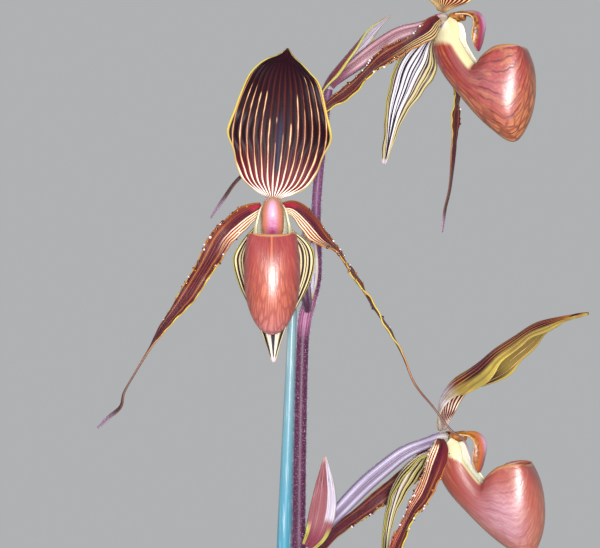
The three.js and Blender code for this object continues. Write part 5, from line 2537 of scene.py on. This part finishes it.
def upper_flower() -> Flower:
    """Gives the top flower, seen from its side.

    Returns:
        The flower.
    """
    return Flower(
        seat=Seat("upper", (61.7, -7, 627.5), SIDE_VIEW, math.radians(-2.5)),
        dorsal=Dorsal(((0, -2.6, 2.55), (0, -2, 10), (0, 1, 22), (0, 5, 34), (0, 11, 46), (0, 20, 57)),
        roll=0.035, turn=-0.55),
        synsepal=Synsepal(((0, -4.8, -5.3), (0, -11.5, -11.5), (0, -17.4, -20), (0, -20.6, -29),
        (0, -23.8, -39.5), (0, -26, -52), (0, -27.5, -61)), roll=HOODED, width=0.92, turn=0.32),
        petals=(Petal(LEFT, ((-4.4, -2.5, -1), (-8.5, -3.6, -3.2), (-13.4, -5.7, -7.5),
        (-19.4, -14.4, -14.2), (-22.2, -23.2, -20.1), (-24, -34.9, -31.4), (-25.9, -44.1, -38.1),
        (-29.5, -55.2, -47.8), (-34.3, -66.9, -58.2), (-39.2, -78.4, -67.9), (-41.6, -84.3, -76.3),
        (-43.8, -89.3, -84.6)), facing=TOWARDS_CAMERA, turn=((0, 0), (0.15, 0.8), (1, 0.8)), lobe_side=1,
        coat=petal_coat(3)), Petal(RIGHT, ((3.9, -2.5, -1), (9, -1.5, -1.6), (17.2, 1, -9.2),
        (21, -0.2, -19.7), (20.7, -1, -31.4), (18.4, -1.6, -51), (16, -2.6, -69.6), (13.3, -4.3, -80.4),
        (11, -4.9, -89.7)), facing=(0, 1, 0), turn=((0, 0), (0.15, 0.2), (1, 0.2)), lobe_side=-1,
        coat=petal_coat(4))),
        ovary=Ovary(((13, -0.2, 599.2), (15.5, -0.5, 602), (22.4, -1, 607.5), (33, -1.5, 615.5),
        (41.8, -2, 621)), scale=1.0),
        bract=Bract(((8.9, 0, 596.5), (12.2, 0, 603), (17.6, -0.3, 609.6), (24, -0.5, 616.6),
        (30.8, -0.8, 623.4), (38, -1, 629)), facing=(0.6, 0, -0.8), roll=0.2, width=6.0, turn=-0.5),
        looks=Looks(dorsal=DorsalFinish("upper_dorsal_striped", amber="c07a2c", white="e8cc94",
        frost="b8924c"), synsepal=SynsepalFinish("upper_synsepal_striped", "e9e6f2", "c4b468", 0.14),
        petal=PetalFinish("upper_petal_maroon", stripe="d4b880", between="4a1c20", bank="7e3a20",
        crimson="5c1e20"), pouch=PouchFinish("upper_pouch_red", "a43c34", "661820", "c8844e", "b88aa4",
        0.12, 0.13, 1.0), shield=ShieldFinish("upper_shield", "96324a", "9c2444", "c49a98", 1.0),
        ovary=OvaryFinish("upper_ovary_mauve", "6a2c48", "7a4654", "a87c86", "d6b8b8"),
        bract=BractFinish("upper_bract", "6e2c3a", "4e1a2a", green=0.8, hem=0.8)))


def lower_flower() -> Flower:
    """Gives the lowest flower, seen from its side with its hood laid back.

    Returns:
        The flower.
    """
    return Flower(
        seat=Seat("lower", (62, -8, 452), SIDE_VIEW, math.radians(4)),
        dorsal=Dorsal(((0, -2.6, 2.55), (0, -3.2, 9), (0, -2.4, 16), (0, 2.6, 23.5), (0, 9.3, 28),
        (0, 14.1, 31.4), (0, 20.7, 36.9), (0, 28.6, 42), (0, 37, 47.3), (0, 46, 49.8), (0, 59, 52)),
        roll=HOODED),
        synsepal=Synsepal(((0, -4.8, -5.3), (0, -12.6, -8.6), (0, -18.2, -13.4), (0, -22.4, -20.5),
        (0, -25.2, -29), (0, -27.3, -40), (0, -28, -50), (0, -28, -60)), roll=HOODED, width=0.85),
        petals=(Petal(LEFT, ((-4.4, -2.5, -1), (-9.6, -1, -4.4), (-13.6, -2.8, -12.6), (-17.4, -5.9, -22.6),
        (-18.2, -10, -29), (-19, -13.4, -36), (-21.1, -18, -47), (-22.6, -25, -62), (-23.8, -31.6, -78),
        (-24.1, -35.5, -95), (-24.7, -37.2, -110)), facing=TOWARDS_CAMERA,
        turn=((0, 0), (0.12, 0.55), (0.25, 1), (1, 1.05)), lobe_side=1, coat=petal_coat(5)),
        Petal(RIGHT, ((3.9, -2.5, -1), (9.6, -2.5, -1.6), (15.8, -7, -6.5), (19.6, -16, -13.5),
        (20, -27.4, -22.6), (14, -40.9, -34), (6.7, -53.5, -44.8), (3.4, -60.4, -58), (2.4, -63.5, -75),
        (2.2, -62.6, -92)), facing=(1, 0, 0), turn=((0, 0), (0.15, 0.2), (1, 0.2)), lobe_side=1,
        coat=petal_coat(6))),
        ovary=Ovary(((4.1, -0.3, 406.2), (9.7, -0.6, 412.4), (18, -1.2, 421.6), (27.5, -2, 431.4),
        (36.5, -3, 439.2), (43.5, -3.7, 444.6)), scale=1.06),
        bract=Bract(((3.2, -3.9, 405.2), (6.8, -5.6, 410.8), (9.2, -5.8, 419), (10.4, -6, 429),
        (10.5, -5.4, 443.5)), facing=(0, 1, 0), roll=0.05, width=5.6),
        looks=Looks(dorsal=DorsalFinish("lower_dorsal_striped", glow=0.66, flank=0.85),
        synsepal=SynsepalFinish("lower_synsepal_striped", "efe2cc", "c9bc68", 0.14),
        petal=PetalFinish("lower_petal_maroon", 1.0, 0.4, bank="7a3420", crimson="7a3a1c"),
        pouch=PouchFinish("lower_pouch_red", "a44c3e", "803034", "b87860", "c4a2b6", 0.55, 0.07, 0.5,
        strip=0.9), shield=ShieldFinish("lower_shield", "b4603c", "a4483c", "c9823c", 0.7),
        ovary=OvaryFinish("lower_ovary_mauve", "5e4464", "74607a", "a095b0", "dcd6ea"),
        bract=BractFinish("lower_bract", "8a5054", "7a2a42", flash=1.0, green=0.18)))


@dataclass
class Lamp:
    """One soft studio lamp.

    Attributes:
        name: Its name.
        place: Where it stands, in metres.
        target: What it faces.
        width: Its width in metres.
        height: Its height in metres.
        power: Its power in watts.
        spread: The angle of its beam, in degrees.
    """

    name: str
    place: Point
    target: Point
    width: float
    height: float
    power: float
    spread: float = 180.0

    def make(self) -> None:
        """Builds the lamp."""
        light = bpy.data.lights.new(self.name, "AREA")
        light.shape, light.size, light.size_y = "ELLIPSE", self.width, self.height
        light.energy, light.spread = self.power, math.radians(self.spread)
        lamp = linked(self.name, light)
        lamp.location = self.place
        lamp.rotation_euler = (Vector(self.target) - Vector(self.place)).to_track_quat("-Z", "Y").to_euler()


@dataclass
class Studio:
    """Pale floor, soft lamps and the camera, in metres."""

    floor_radius: float = 2.4
    floor_sides: int = 96
    camera_place: Point = (0.0, -0.845, 0.520)
    lens: float = 120.0
    sensor: float = 36.0
    air: Colour = "c4c6c8"
    air_strength: float = 0.78
    lamps: tuple[Lamp, ...] = (
        Lamp("key", (0.03, -0.98, 0.52), (0.02, -0.02, 0.53), 0.10, 0.34, 3.3, 90.0),
        Lamp("fill", (-1.1, -1.4, 1.3), (0.0, 0.0, 0.45), 1.4, 1.4, 4.0),
        Lamp("back", (-0.4, 1.3, 1.9), (0.0, 0.0, 0.45), 1.6, 1.6, 4.0),
    )

    def make(self) -> None:
        """Builds the studio."""
        disc = bmesh.new()
        bmesh.ops.create_circle(disc, cap_ends=True, segments=self.floor_sides, radius=self.floor_radius)
        mesh = bpy.data.meshes.new("studio_floor")
        disc.to_mesh(mesh)
        disc.free()
        mesh.materials.append(FloorFinish().material())
        floor = linked("studio_floor", mesh)
        world = bpy.data.worlds.new("studio_air")
        world.use_nodes = True
        air = world.node_tree.nodes["Background"]
        air.inputs[0].default_value = (*tone(self.air), 1.0)
        air.inputs[1].default_value = self.air_strength
        bpy.context.scene.world = world
        for lamp in self.lamps:
            lamp.make()
        camera = linked("camera", bpy.data.cameras.new("camera"))
        camera.data.lens, camera.data.sensor_width = self.lens, self.sensor
        camera.location = self.camera_place
        camera.rotation_euler = (math.pi / 2, 0, 0)
        bpy.context.scene.camera = camera
        view = bpy.context.scene.view_settings
        view.view_transform, view.look = "Standard", "None"


def main() -> None:
    """Builds the dressed plant, piece by piece."""
    logging.basicConfig(level=logging.INFO, format="%(message)s")
    Studio().make()
    pot = Pot()
    pot.make()
    PottingMix(pot).make()
    Stake().make()
    LeafFan().make()
    FlowerStem().make()
    warts = WartFinish().material()
    fuzz = FuzzFinish("ovary_fuzz", "b8aac0", "7c6478").material()
    for flower in (middle_flower(), upper_flower(), lower_flower()):
        flower.make(warts, fuzz)


if __name__ == "__main__":
    main()
